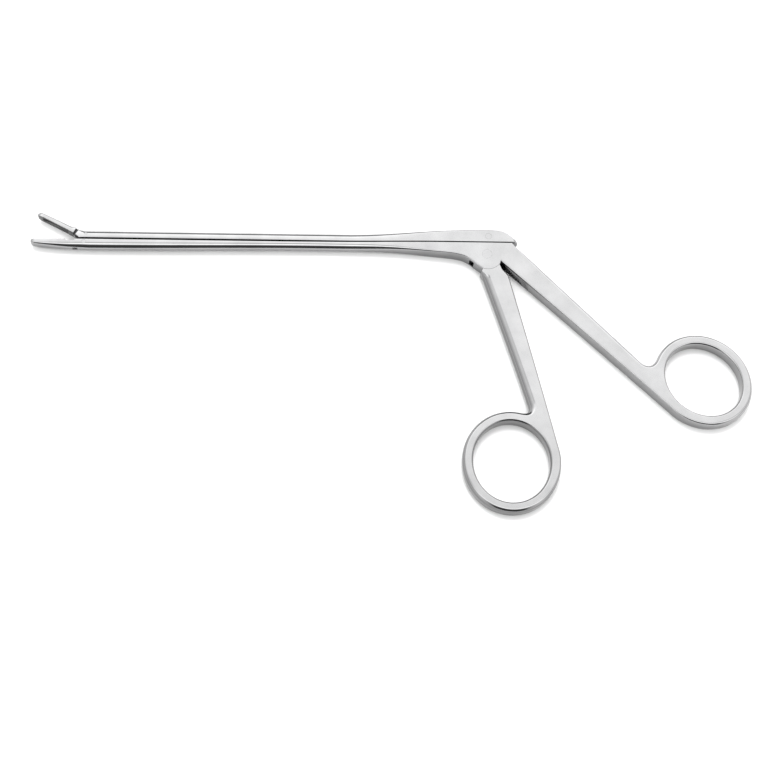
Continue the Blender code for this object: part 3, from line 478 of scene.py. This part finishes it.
def forged_plate(outer, holes, spacing, grid, depth_at, sweep=90.0):
    """A closed bar with the given outline and rounded rims, as a bmesh in millimetres.
    depth_at scales half the thickness from place to place, grid gives where its face needs inner points, and
    the rims turn through the sweep in degrees."""
    bm = bmesh.new()
    loops = []
    for loop in [outer, *holes]:
        fine = finer(loop, spacing)
        wanted = 1 if loop is outer else -1
        loops.append(fine if signed_area(fine) * wanted > 0 else fine[::-1])
    turns = [math.radians(sweep) * k / RIM_STEPS for k in range(RIM_STEPS + 1)]
    rim = [(1 - math.cos(turn), math.sin(turn)) for turn in turns]
    rim = [(across / rim[-1][0], up / rim[-1][1]) for across, up in rim]
    inner = []
    for loop in loops:
        steps = inward(loop)
        rings = []
        for side in (-1, 1):
            rows = []
            for across, up in rim + [(None, 1.0)]:
                row = []
                for (x, y, width, rise), step in zip(loop, steps):
                    move = step * (width + FACE_MARGIN if across is None else width * across)
                    row.append((x + move.x, y + move.y, side * (HALF_BODY - rise * (1 - up))))
                rows.append(row)
            rings += rows[::-1] if side < 0 else rows
        verts = [[bm.verts.new(point) for point in row] for row in rings]
        for low, high in zip(verts, verts[1:]):
            for i in range(len(loop)):
                bm.faces.new((low[i - 1], low[i], high[i], high[i - 1]))
        inner.append((verts[0], verts[-1]))
    flat = [[(v.co.x, v.co.y) for v in top] for _, top in inner]
    points = np.array([p for loop in flat for p in loop])
    seeds = grid(points)
    if len(seeds):
        seeds = seeds[inside(seeds, flat)]
        seeds = seeds[nearest(seeds, flat) > GRID_MARGIN]
    edges, start = [], 0
    for loop in flat:
        edges += [(start + i, start + (i + 1) % len(loop)) for i in range(len(loop))]
        start += len(loop)
    places = [Vector(p) for p in points] + [Vector(p) for p in seeds]
    made = delaunay_2d_cdt(places, edges, [], 0, 1e-6)
    corners = np.array([tuple(p) for p in made[0]])
    triangles = np.array([tuple(f) for f in made[2]])
    keep = inside(corners[triangles].mean(axis=1), flat)
    for side, pick in ((-1, 0), (1, 1)):
        known = [v for pair in inner for v in pair[pick]]
        lookup = []
        for sources, place in zip(made[3], made[0]):
            edge = [i for i in sources if i < len(known)]
            lookup.append(known[edge[0]] if edge else bm.verts.new((place.x, place.y, side * HALF_BODY)))
        for triangle in triangles[keep]:
            bm.faces.new([lookup[i] for i in triangle])
    for vertex in bm.verts:
        vertex.co.z *= depth_at(vertex.co.x, vertex.co.y)
    loose = [v for v in bm.verts if not v.link_faces]
    bmesh.ops.delete(bm, geom=loose, context="VERTS")
    bmesh.ops.recalc_face_normals(bm, faces=bm.faces)
    return bm


def shaft_depth(tip, shaft, middle, tall, tail=None):
    """Scale of the thickness along the shafts: narrow and a little round, and as wide as the housing at the
    rear. Seen along Y, the ends at tip and tail are round."""
    half = mm(shaft.width) / 2

    def depth(x, y):
        flare = smooth_step(x, FLARE_START, FLARE_END)
        width = half + (HALF_BODY - half) * flare
        if tip is not None and x < tip + TIP_ROUND:
            reach = min((tip + TIP_ROUND - x) / (TIP_ROUND + 0.25), BLUNTEST)
            width *= math.sqrt(1 - reach * reach)
        if tail is not None and x > tail - TAIL_ROUND:
            reach = (x - tail + TAIL_ROUND) / (TAIL_ROUND + 0.1)
            width *= math.sqrt(1 - reach * reach)
        share = (y - middle) / tall
        round_off = CROWN * (1 - flare) * min(share * share, 1.0)
        return width / HALF_BODY * (1 - round_off)

    return depth


def shaft_grid(stop, low, high, tail=None):
    """Inner points along the shafts, where the sides aren't flat."""
    def grid(points):
        xs = list(np.arange(points[:, 0].min(), stop, GRID_ALONG))
        if tail is not None:
            xs += list(np.arange(tail - TAIL_ROUND - 0.1, tail, GRID_TAIL))
        ys = np.arange(low, high, GRID_UP)
        return np.array([(x, y + GRID_STAGGER * (i % 2)) for i, x in enumerate(xs) for y in ys])

    return grid


def no_grid(points):
    return np.empty((0, 2))


def new_piece(name, bm, material=None):
    """An object at the origin, from a bmesh in millimetres about the handle pivot."""
    bmesh.ops.scale(bm, verts=bm.verts, vec=(MM, MM, MM))
    bmesh.ops.translate(bm, verts=bm.verts, vec=PIVOT)
    mesh = bpy.data.meshes.new(name)
    bm.to_mesh(mesh)
    bm.free()
    obj = bpy.data.objects.new(name, mesh)
    bpy.context.scene.collection.objects.link(obj)
    if material:
        mesh.materials.append(material)
    return obj


def carve(obj, *tools, operation="DIFFERENCE"):
    """Cuts the tools from the object, or joins them on, and removes them."""
    group = bpy.data.collections.new("tools")
    for tool in tools:
        group.objects.link(tool)
    modifier = obj.modifiers.new("carve", "BOOLEAN")
    modifier.operand_type, modifier.collection = "COLLECTION", group
    modifier.operation, modifier.solver = operation, "EXACT"
    graph = bpy.context.evaluated_depsgraph_get()
    mesh = bpy.data.meshes.new_from_object(obj.evaluated_get(graph))
    obj.modifiers.clear()
    obj.data = mesh
    for tool in tools:
        bpy.data.objects.remove(tool, do_unlink=True)
    bpy.data.collections.remove(group)
    if not mesh.polygons:
        raise RuntimeError(f"{obj.name} has lost its faces")


def box(x_range, y_range, half_z):
    bm = bmesh.new()
    middle = Matrix.Translation(((x_range[0] + x_range[1]) / 2, (y_range[0] + y_range[1]) / 2, 0.0))
    size = Matrix.Diagonal((x_range[1] - x_range[0], y_range[1] - y_range[0], 2 * half_z, 1.0))
    bmesh.ops.create_cube(bm, size=1.0, matrix=middle @ size)
    return new_piece("tool", bm)


def disc(centre, radius, half_z, sides=MANY_SIDES):
    bm = bmesh.new()
    bmesh.ops.create_cone(bm, cap_ends=True, segments=sides, radius1=radius, radius2=radius, depth=2 * half_z,
                          matrix=Matrix.Translation((*centre, 0.0)))
    return new_piece("tool", bm)


def bore(pin, centre, clearance=PIN_CLEARANCE):
    """A cutter for the hole that a pin sits or turns in."""
    radius = PIN_RADIUS[pin] + clearance
    return disc(centre, radius, THROUGH, MANY_SIDES if radius > 1.0 else FEW_SIDES)


def slab(loop, half_z):
    """A flat plate with the given outline."""
    bm = bmesh.new()
    loop = loop if signed_area(loop) > 0 else loop[::-1]
    face = bm.faces.new([bm.verts.new((x, y, -half_z)) for x, y in loop])
    made = bmesh.ops.extrude_face_region(bm, geom=[face])
    bmesh.ops.translate(bm, verts=[g for g in made["geom"] if isinstance(g, bmesh.types.BMVert)],
                        vec=(0.0, 0.0, 2 * half_z))
    bmesh.ops.recalc_face_normals(bm, faces=bm.faces)
    return new_piece("tool", bm)


def cup(level, jaws):
    bm = bmesh.new()
    bmesh.ops.create_uvsphere(bm, u_segments=48, v_segments=24, radius=1.0)
    half = mm(jaws.cup_length) / 2
    bmesh.ops.scale(bm, verts=bm.verts, vec=(half, mm(jaws.cup_depth), mm(jaws.cup_width) / 2))
    bmesh.ops.translate(bm, verts=bm.verts, vec=(BITE_REAR - 1.0 - half, level, 0.0))
    return new_piece("tool", bm)


def finish_piece(obj, body, slot, *nodes):
    """Smooth shading, then the piece takes its node's place."""
    mesh = obj.data
    bm = bmesh.new()
    bm.from_mesh(mesh)
    bmesh.ops.dissolve_degenerate(bm, edges=bm.edges, dist=1e-8)
    bm.to_mesh(mesh)
    bm.free()
    mesh.shade_smooth()
    mesh.set_sharp_from_angle(angle=math.radians(CREASE))
    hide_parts(*nodes)
    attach(obj, body)


# Nodes

def feed(tree, target, source):
    """Links the source to the target socket if it is a socket too, or sets it as the target's value."""
    if isinstance(source, bpy.types.NodeSocket):
        tree.links.new(source, target)
    else:
        target.default_value = source


def compute(tree, operation, first, second=None):
    node = tree.nodes.new("ShaderNodeMath")
    node.operation = operation
    feed(tree, node.inputs[0], first)
    if second is not None:
        feed(tree, node.inputs[1], second)
    return node.outputs[0]


def remap(tree, source, taken, given):
    """The source, with the range taken turned into the range given."""
    node = tree.nodes.new("ShaderNodeMapRange")
    for key, value in zip(("Value", "From Min", "From Max", "To Min", "To Max"), (source, *taken, *given)):
        feed(tree, node.inputs[key], value)
    return node.outputs[0]


def mix_colours(tree, first, second, factor=1.0, mode="MULTIPLY"):
    node = tree.nodes.new("ShaderNodeMix")
    node.data_type, node.blend_type = "RGBA", mode
    feed(tree, node.inputs["Factor"], factor)
    feed(tree, node.inputs[6], first)
    feed(tree, node.inputs[7], second)
    return node.outputs[2]


def noise(tree, vector, scale, detail, roughness=0.5):
    node = tree.nodes.new("ShaderNodeTexNoise")
    feed(tree, node.inputs["Vector"], vector)
    feed(tree, node.inputs["Scale"], scale)
    feed(tree, node.inputs["Detail"], detail)
    feed(tree, node.inputs["Roughness"], roughness)
    return node.outputs["Fac"]


def grey(value):
    return (value, value, value, 1.0)


# Serrations

def socket(tree, name, kind, default):
    item = tree.interface.new_socket(name=name, in_out="INPUT", socket_type=kind)
    item.default_value = default
    return item.identifier


def teeth_tree(material):
    """Bars turned on edge in an even row, one for each notch between two teeth."""
    tree = bpy.data.node_groups.new("Jaw Serrations", "GeometryNodeTree")
    tree.interface.new_socket(name="Geometry", in_out="OUTPUT", socket_type="NodeSocketGeometry")
    keys = {
        "Count": socket(tree, "Count", "NodeSocketInt", 16),
        "Start": socket(tree, "Start", "NodeSocketVector", (0.0, 0.0, 0.0)),
        "Pitch": socket(tree, "Pitch", "NodeSocketFloat", 0.00055),
        "Depth": socket(tree, "Depth", "NodeSocketFloat", 0.00022),
        "Width": socket(tree, "Width", "NodeSocketFloat", NOTCH_WIDTH),
    }
    nodes, links = tree.nodes, tree.links
    inputs, out = nodes.new("NodeGroupInput"), nodes.new("NodeGroupOutput")
    back = nodes.new("ShaderNodeCombineXYZ")
    feed(tree, back.inputs["X"], compute(tree, "MULTIPLY", inputs.outputs["Pitch"], -1.0))
    line = nodes.new("GeometryNodeMeshLine")
    links.new(inputs.outputs["Count"], line.inputs["Count"])
    links.new(inputs.outputs["Start"], line.inputs["Start Location"])
    links.new(back.outputs[0], line.inputs["Offset"])
    side = compute(tree, "MULTIPLY", inputs.outputs["Depth"], math.sqrt(2.0))
    size = nodes.new("ShaderNodeCombineXYZ")
    for axis, source in zip("XYZ", (side, side, inputs.outputs["Width"])):
        feed(tree, size.inputs[axis], source)
    bar = nodes.new("GeometryNodeMeshCube")
    links.new(size.outputs[0], bar.inputs["Size"])
    place = nodes.new("GeometryNodeInstanceOnPoints")
    place.inputs["Rotation"].default_value = (0.0, 0.0, math.radians(45.0))
    links.new(line.outputs[0], place.inputs["Points"])
    links.new(bar.outputs["Mesh"], place.inputs["Instance"])
    real = nodes.new("GeometryNodeRealizeInstances")
    dress = nodes.new("GeometryNodeSetMaterial")
    dress.inputs["Material"].default_value = material
    links.new(place.outputs[0], real.inputs[0])
    links.new(real.outputs[0], dress.inputs["Geometry"])
    links.new(dress.outputs[0], out.inputs[0])
    return tree, keys


def serrations(level, jaws, material):
    """The row of notches for one bite, as a plain mesh."""
    tree, keys = teeth_tree(material)
    mesh = bpy.data.meshes.new("serrations")
    obj = bpy.data.objects.new("tool", mesh)
    bpy.context.scene.collection.objects.link(obj)
    modifier = obj.modifiers.new("Serrations", "NODES")
    modifier.node_group = tree
    start = PIVOT + Vector((BITE_REAR - 0.8 * mm(jaws.tooth_pitch), level, 0.0)) * MM
    values = {"Count": jaws.teeth, "Start": start, "Pitch": jaws.tooth_pitch, "Depth": jaws.tooth_depth,
              "Width": NOTCH_WIDTH}
    for name, value in values.items():
        modifier[keys[name]] = value
    graph = bpy.context.evaluated_depsgraph_get()
    plain = bpy.data.meshes.new_from_object(obj.evaluated_get(graph))
    obj.modifiers.remove(modifier)
    obj.data = plain
    return obj


# Materials

SHEEN_SPREAD = 0.04
MARK_DEPTH = 0.00002


def satin_steel(name, finish, shade=1.0, rough=0.0, sides=(0.0, 0.9, 0.56)):
    """Polished satin steel: fine marks along the bar, and faint clouds in the sheen and in the colour.
    Painted shade dims the sides below the faces, by how far they lean: sides holds the leans and the darkest
    share."""
    name = "polished_" + name
    if name in bpy.data.materials:
        return bpy.data.materials[name]
    material = bpy.data.materials.new(name)
    material.use_nodes = True
    tree = material.node_tree
    shader = tree.nodes["Principled BSDF"]
    shader.inputs["Metallic"].default_value = 1.0
    place = tree.nodes.new("ShaderNodeTexCoord")
    stretch = tree.nodes.new("ShaderNodeMapping")
    stretch.inputs["Scale"].default_value = (500.0, 6000.0, 6000.0)
    feed(tree, stretch.inputs["Vector"], place.outputs["Object"])
    clouds = noise(tree, place.outputs["Object"], 150.0, 4.0)
    marks = noise(tree, stretch.outputs[0], 1.0, 5.0, 0.7)
    steel = (*(channel * shade for channel in finish.steel), 1.0)
    clouded = mix_colours(tree, steel, remap(tree, clouds, (0.3, 0.7), (0.9, 1.04)))
    # Painted shade: the base colour dims as the surface leans away from facing up, standing in for the shade
    # on the walls.
    level = tree.nodes.new("ShaderNodeSeparateXYZ")
    feed(tree, level.inputs[0], place.outputs["Normal"])
    lean = compute(tree, "ABSOLUTE", level.outputs["Z"])
    painted_side_shade = mix_colours(tree, clouded, remap(tree, lean, sides[:2], (sides[2], 1.0)))
    feed(tree, shader.inputs["Base Color"], painted_side_shade)
    both = tree.nodes.new("ShaderNodeMix")
    for place_in, source in zip((0, 2, 3), (0.5, clouds, marks)):
        feed(tree, both.inputs[place_in], source)
    middle = finish.roughness + rough
    sheen = remap(tree, both.outputs[0], (0.3, 0.7), (middle - SHEEN_SPREAD, middle + SHEEN_SPREAD))
    feed(tree, shader.inputs["Roughness"], sheen)
    bump = tree.nodes.new("ShaderNodeBump")
    bump.inputs["Strength"].default_value = finish.grain
    bump.inputs["Distance"].default_value = MARK_DEPTH
    feed(tree, bump.inputs["Height"], marks)
    feed(tree, shader.inputs["Normal"], bump.outputs[0])
    return material


def white_surface(stage):
    material = bpy.data.materials.new("white_surface")
    material.use_nodes = True
    tree = material.node_tree
    shader = tree.nodes["Principled BSDF"]
    shader.inputs["Roughness"].default_value = 0.9
    shader.inputs["Specular IOR Level"].default_value = 0.0
    place = tree.nodes.new("ShaderNodeTexCoord")
    grain = noise(tree, place.outputs["Object"], 90.0, 2.0)
    pale = stage.floor[0]
    feed(tree, shader.inputs["Base Color"], remap(tree, grain, (0.0, 1.0), (pale - 0.01, pale + 0.01)))
    return material


# Operators

class BuildShank(bpy.types.Operator):
    """Lower shaft, lower jaw, housing, rear handle and thumb ring"""
    bl_idname = "rongeur.build_shank"
    bl_label = "Fixed Shank"

    def execute(self, context):
        scene = context.scene
        jaws, shaft, handles = scene.rongeur_jaws, scene.rongeur_shaft, scene.rongeur_handles
        steel = satin_steel("satin_steel", scene.rongeur_finish)
        hole = ring_hole(REAR_RING, REAR_RING_HALF, REAR_RING_TILT, handles)
        bm = forged_plate(shank_outline(scene), [hole], lambda x, y: 0.35 if x < TIP_X + 14 else 0.8,
                          shaft_grid(-12.0, -3.0, SEAT_BOTTOM), shaft_depth(TIP_X, shaft, 3.0, 2.6))
        shank = new_piece("shank", bm, steel)
        slot = mm(handles.lever) / 2 + LEVER_CLEARANCE
        saw_cut = [(2.5, -2.0), (5.0, -0.9), (7.6, -3.6), (10.4, -6.6), (12.8, -10.2), (10.0, -11.8),
                   (0.0, -4.0)]
        carve(
            shank,
            disc((0, 0), HUB_ROOM, slot),
            box((-3.2, 3.2), (1.0, 5.0), slot),
            box((-1.4, 4.7), (-5.6, -2.0), slot),
            box((-5.4, -4.1), (-3.4, 0.0), slot - 0.3),
            slab(saw_cut, slot),
            bore("handle_pivot_pin", (0, 0)),
            box((JAW_REAR - 0.6, JAW_PIVOT[0] + 1.6), (JAW_PIVOT[1] - 1.4, 5.0), FORK_HALF),
            box((JAW_PIVOT[0] - 3.4, JAW_PIVOT[0] - 1.9), (0.0, 4.0), TANG_HALF),
            bore("jaw_pivot_pin", JAW_PIVOT),
            cup(BITE_LOW, jaws),
            serrations(BITE_LOW, jaws, steel),
        )
        finish_piece(shank, "shank", "satin_steel", "fixed_shank")
        return {"FINISHED"}


class BuildSlide(bpy.types.Operator):
    """Sliding shaft that carries the drive pin and the jaw's link pin"""
    bl_idname = "rongeur.build_slide"
    bl_label = "Sliding Shaft"

    def execute(self, context):
        scene = context.scene
        steel = satin_steel("satin_steel", scene.rongeur_finish)
        bm = forged_plate(slide_outline(scene), [], lambda x, y: 0.3 if x < TIP_X + 20 or x > 0 else 0.8,
                          shaft_grid(-12.0, SEAT_TOP, 9.0, SLIDE_TAIL),
                          shaft_depth(None, scene.rongeur_shaft, 4.4, 3.4, SLIDE_TAIL))
        slide = new_piece("slide", bm, steel)
        slot = mm(scene.rongeur_handles.lever) / 2 + LEVER_CLEARANCE
        carve(
            slide,
            box((DRIVE_PIN[0] - 2.75, DRIVE_PIN[0] + 2.75), (3.0, DRIVE_PIN[1] + 1.45), slot),
            bore("drive_pin", DRIVE_PIN),
            box((JAW_PIVOT[0] - 4.0, LINK_PIN[0] + 1.6), (3.0, 9.0), FORK_HALF),
            bore("jaw_link_pin", LINK_PIN),
        )
        finish_piece(slide, "slide", "satin_steel", "sliding_shaft")
        return {"FINISHED"}


class BuildJaw(bpy.types.Operator):
    """Upper jaw with its tang, drawn closed and opened about its pivot"""
    bl_idname = "rongeur.build_jaw"
    bl_label = "Upper Jaw"

    def execute(self, context):
        scene = context.scene
        jaws = scene.rongeur_jaws
        steel = satin_steel("jaw_steel", scene.rongeur_finish, 0.97, 0.01)
        bm = forged_plate(jaw_outline(), [], lambda x, y: 0.3, shaft_grid(JAW_REAR, BITE_HIGH, 6.0),
                          shaft_depth(UPPER_TIP, scene.rongeur_shaft, 4.3, 2.4))
        jaw = new_piece("cup_jaw", bm, steel)
        carve(jaw, cup(BITE_HIGH, jaws), serrations(BITE_HIGH, jaws, steel))
        lean = math.atan2(LINK_PIN[0] - JAW_PIVOT[0], LINK_PIN[1] - JAW_PIVOT[1])
        arm = math.dist(LINK_PIN, JAW_PIVOT)
        link = (JAW_PIVOT[0] - arm * math.sin(lean), JAW_PIVOT[1] + arm * math.cos(lean))
        tang = [(JAW_REAR - 0.8, BITE_HIGH + 0.25), *oval(JAW_PIVOT, (1.2, 1.2), 0.0, -125, 20, 6),
                *oval(link, (1.1, 1.1), 0.0, 10, 110, 6), (JAW_REAR - 0.8, BITE_HIGH + 1.75)]
        carve(jaw, slab(tang, TANG_HALF), operation="UNION")
        carve(jaw, bore("jaw_pivot_pin", JAW_PIVOT), bore("jaw_link_pin", link, LINK_CLEARANCE))
        # The bite faces and the cup take a near-black copy of the steel: painted shade where the bite lies in
        # deep shadow.
        jaw.data.materials.append(satin_steel("bite_shade_steel", scene.rongeur_finish, 0.2, 0.1))
        for face in jaw.data.polygons:
            level = from_pivot(face.center)[1] - BITE_HIGH
            aside = abs(face.center.z - PIVOT.z)
            if level < 1.2 and (face.normal.y < -0.4 or aside < 0.51 * jaws.cup_width):
                face.material_index = 1
        pivot = PIVOT + Vector((*JAW_PIVOT, 0.0)) * MM
        turn = Matrix.Translation(pivot) @ Matrix.Rotation(-JAW_OPEN, 4, "Z") @ Matrix.Translation(-pivot)
        jaw.data.transform(turn)
        finish_piece(jaw, "jaw", "jaw_steel", "upper_jaw")
        return {"FINISHED"}


class BuildFrontHandle(bpy.types.Operator):
    """Front handle with its finger ring and forked lever"""
    bl_idname = "rongeur.build_front_handle"
    bl_label = "Front Handle"

    def execute(self, context):
        scene = context.scene
        handles = scene.rongeur_handles
        # Painted light and shade: the handle's face is painted a little lighter and its sides deeper in shade
        # than the other pieces'.
        steel = satin_steel("handle_steel", scene.rongeur_finish, 1.02, 0.0, (0.45, 0.95, 0.42))
        hole = ring_hole(FRONT_RING, FRONT_RING_HALF, 0.0, handles)
        bm = forged_plate(front_outline(scene), [hole], lambda x, y: 0.8, no_grid, lambda x, y: 1.0,
                          sweep=72.0)
        handle = new_piece("front_lever", bm, steel)
        carve(handle, slab(lever_outline(), mm(handles.lever) / 2), operation="UNION")
        carve(handle, bore("handle_pivot_pin", (0, 0)))
        finish_piece(handle, "handle", "handle_steel", "front_handle")
        return {"FINISHED"}


class BuildPins(bpy.types.Operator):
    """The four rivets, ground flush"""
    bl_idname = "rongeur.build_pins"
    bl_label = "Pins"

    def execute(self, context):
        steel = satin_steel("pin_steel", context.scene.rongeur_finish, 1.0, 0.02)
        for node, radius in PIN_RADIUS.items():
            bevel = PIN_BEVEL[node]
            low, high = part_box(node)
            half = (high.z - low.z) / 2 / MM + PIN_PROUD
            profile = [(0.0, -half), (radius - bevel, -half), (radius, -half + bevel), (radius, half - bevel),
                       (radius - bevel, half), (0.0, half)]
            bm = bmesh.new()
            ring = [bm.verts.new((r, 0.0, z)) for r, z in profile]
            edges = [bm.edges.new(pair) for pair in zip(ring, ring[1:])]
            bmesh.ops.spin(bm, geom=ring + edges, axis=(0, 0, 1), cent=(0, 0, 0), angle=2 * math.pi, steps=72,
                           use_merge=True)
            bmesh.ops.remove_doubles(bm, verts=bm.verts, dist=0.0001)
            bmesh.ops.recalc_face_normals(bm, faces=bm.faces)
            bmesh.ops.translate(bm, verts=bm.verts, vec=(*node_centre(node), 0.0))
            finish_piece(new_piece("rivet_" + node, bm, steel), PIN_BODY[node], "pin_steel", node)
        return {"FINISHED"}


# Brightness of the studio from back to front: degrees from overhead towards the viewer, and the share of
# full strength there
STUDIO_BANDS = ((-90, 0.06), (-66, 0.1), (-56, 0.9), (-40, 0.95), (-27, 0.74), (-19, 0.7), (-10, 0.36),
                (0, 0.34), (8, 0.9), (22, 1.0), (30, 0.85), (37, 0.1), (60, 0.03), (84, 0.04), (90, 0.12))
# Towards the left and right the bands give way to one tone, which then fades: ranges of the sideways share
END_BLEND, END_TONE = (0.4, 0.75), 0.75
END_FADE, END_LOW = (0.5, 0.95), 0.5


def studio_world(strength):
    """Soft light in long bands from front to back, as from banks of diffusers over the table."""
    world = bpy.data.worlds.new("studio")
    bpy.context.scene.world = world
    world.use_nodes = True
    tree = world.node_tree
    background = tree.nodes["Background"]
    background.inputs["Strength"].default_value = strength
    place = tree.nodes.new("ShaderNodeTexCoord")
    split = tree.nodes.new("ShaderNodeSeparateXYZ")
    feed(tree, split.inputs[0], place.outputs["Generated"])
    angle = compute(tree, "ARCTAN2", compute(tree, "MULTIPLY", split.outputs["Y"], -1.0), split.outputs["Z"])
    ramp = tree.nodes.new("ShaderNodeValToRGB")
    feed(tree, ramp.inputs[0], remap(tree, angle, (-math.pi / 2, math.pi / 2), (0.0, 1.0)))
    stops = ramp.color_ramp.elements
    stops.remove(stops[1])
    for index, (degrees, value) in enumerate(STUDIO_BANDS):
        place_at = (degrees + 90) / 180
        stop = stops.new(place_at) if index else stops[0]
        stop.position = place_at
        stop.color = grey(value)
    sideways = compute(tree, "ABSOLUTE", split.outputs["X"])
    ends = remap(tree, sideways, END_BLEND, (0.0, 1.0))
    bands = mix_colours(tree, ramp.outputs[0], grey(END_TONE), ends, "MIX")
    light = mix_colours(tree, bands, remap(tree, sideways, END_FADE, (1.0, END_LOW)))
    feed(tree, background.inputs["Color"], light)


# Floor and lamp
FLOOR_SIZE = 2.5
FLOOR_LEVEL = -0.00002
SUN_SPREAD = math.radians(16.0)
SUN_FROM = (-0.08, 0.3, 1.0)

# Camera: its place in millimetres from the handle pivot, and the directions of its picture
VIEW_FROM = (-74.741, -246.788, 562.413)
VIEW_RIGHT = (0.99747789, -0.01620022, 0.06910434)
VIEW_UP = (-0.00839093, 0.93986215, 0.34145093)
LENS = 93.27
SENSOR = 36.0


class BuildStage(bpy.types.Operator):
    """White floor, soft studio light and the camera"""
    bl_idname = "rongeur.build_stage"
    bl_label = "Stage"

    def execute(self, context):
        scene = context.scene
        stage = scene.rongeur_stage
        bm = bmesh.new()
        bmesh.ops.create_grid(bm, x_segments=1, y_segments=1, size=FLOOR_SIZE)
        bmesh.ops.translate(bm, verts=bm.verts, vec=(0.0, 0.0, FLOOR_LEVEL))
        mesh = bpy.data.meshes.new("floor")
        bm.to_mesh(mesh)
        bm.free()
        mesh.materials.append(white_surface(stage))
        floor = bpy.data.objects.new("floor", mesh)
        scene.collection.objects.link(floor)
        studio_world(stage.studio)
        light = bpy.data.lights.new("overhead", "SUN")
        light.energy = stage.overhead
        light.angle = SUN_SPREAD
        lamp = bpy.data.objects.new("overhead", light)
        lamp.rotation_euler = Vector(SUN_FROM).to_track_quat("Z", "Y").to_euler()
        lamp.visible_glossy = False
        scene.collection.objects.link(lamp)
        camera = bpy.data.cameras.new("camera")
        camera.lens, camera.sensor_width, camera.sensor_fit = LENS, SENSOR, "HORIZONTAL"
        camera.clip_start, camera.clip_end = 0.01, 20.0
        eye = bpy.data.objects.new("camera", camera)
        right, up = Vector(VIEW_RIGHT), Vector(VIEW_UP)
        back = right.cross(up).normalized()
        turn = Matrix((right, up, back)).transposed()
        eye.matrix_world = Matrix.Translation(PIVOT + Vector(VIEW_FROM) * MM) @ turn.to_4x4()
        scene.collection.objects.link(eye)
        scene.camera = eye
        scene.view_settings.view_transform = "Standard"
        return {"FINISHED"}


class RongeurPanel(bpy.types.Panel):
    """Sizes, colours and pieces of the rongeur"""
    bl_idname = "VIEW3D_PT_rongeur"
    bl_label = "Rongeur"
    bl_space_type = "VIEW_3D"
    bl_region_type = "UI"
    bl_category = "Rongeur"

    def draw(self, context):
        for name, group in GROUPS.items():
            column = self.layout.column(align=True)
            settings = getattr(context.scene, name)
            for key in group.__annotations__:
                column.prop(settings, key)
        for operator in OPERATORS:
            self.layout.operator(operator.bl_idname)


GROUPS = {"rongeur_shaft": RongeurShaft, "rongeur_jaws": RongeurJaws, "rongeur_handles": RongeurHandles,
          "rongeur_finish": RongeurFinish, "rongeur_stage": RongeurStage}
OPERATORS = (BuildShank, BuildSlide, BuildJaw, BuildFrontHandle, BuildPins, BuildStage)


def register():
    for group in (*GROUPS.values(), *OPERATORS, RongeurPanel):
        bpy.utils.register_class(group)
    for name, group in GROUPS.items():
        setattr(bpy.types.Scene, name, PointerProperty(type=group))


def unregister():
    for name in GROUPS:
        delattr(bpy.types.Scene, name)
    for group in (RongeurPanel, *reversed(OPERATORS), *reversed(list(GROUPS.values()))):
        bpy.utils.unregister_class(group)


def main():
    register()
    bpy.ops.rongeur.build_shank()
    bpy.ops.rongeur.build_slide()
    bpy.ops.rongeur.build_jaw()
    bpy.ops.rongeur.build_front_handle()
    bpy.ops.rongeur.build_pins()
    bpy.ops.rongeur.build_stage()


if __name__ == "__main__":
    main()
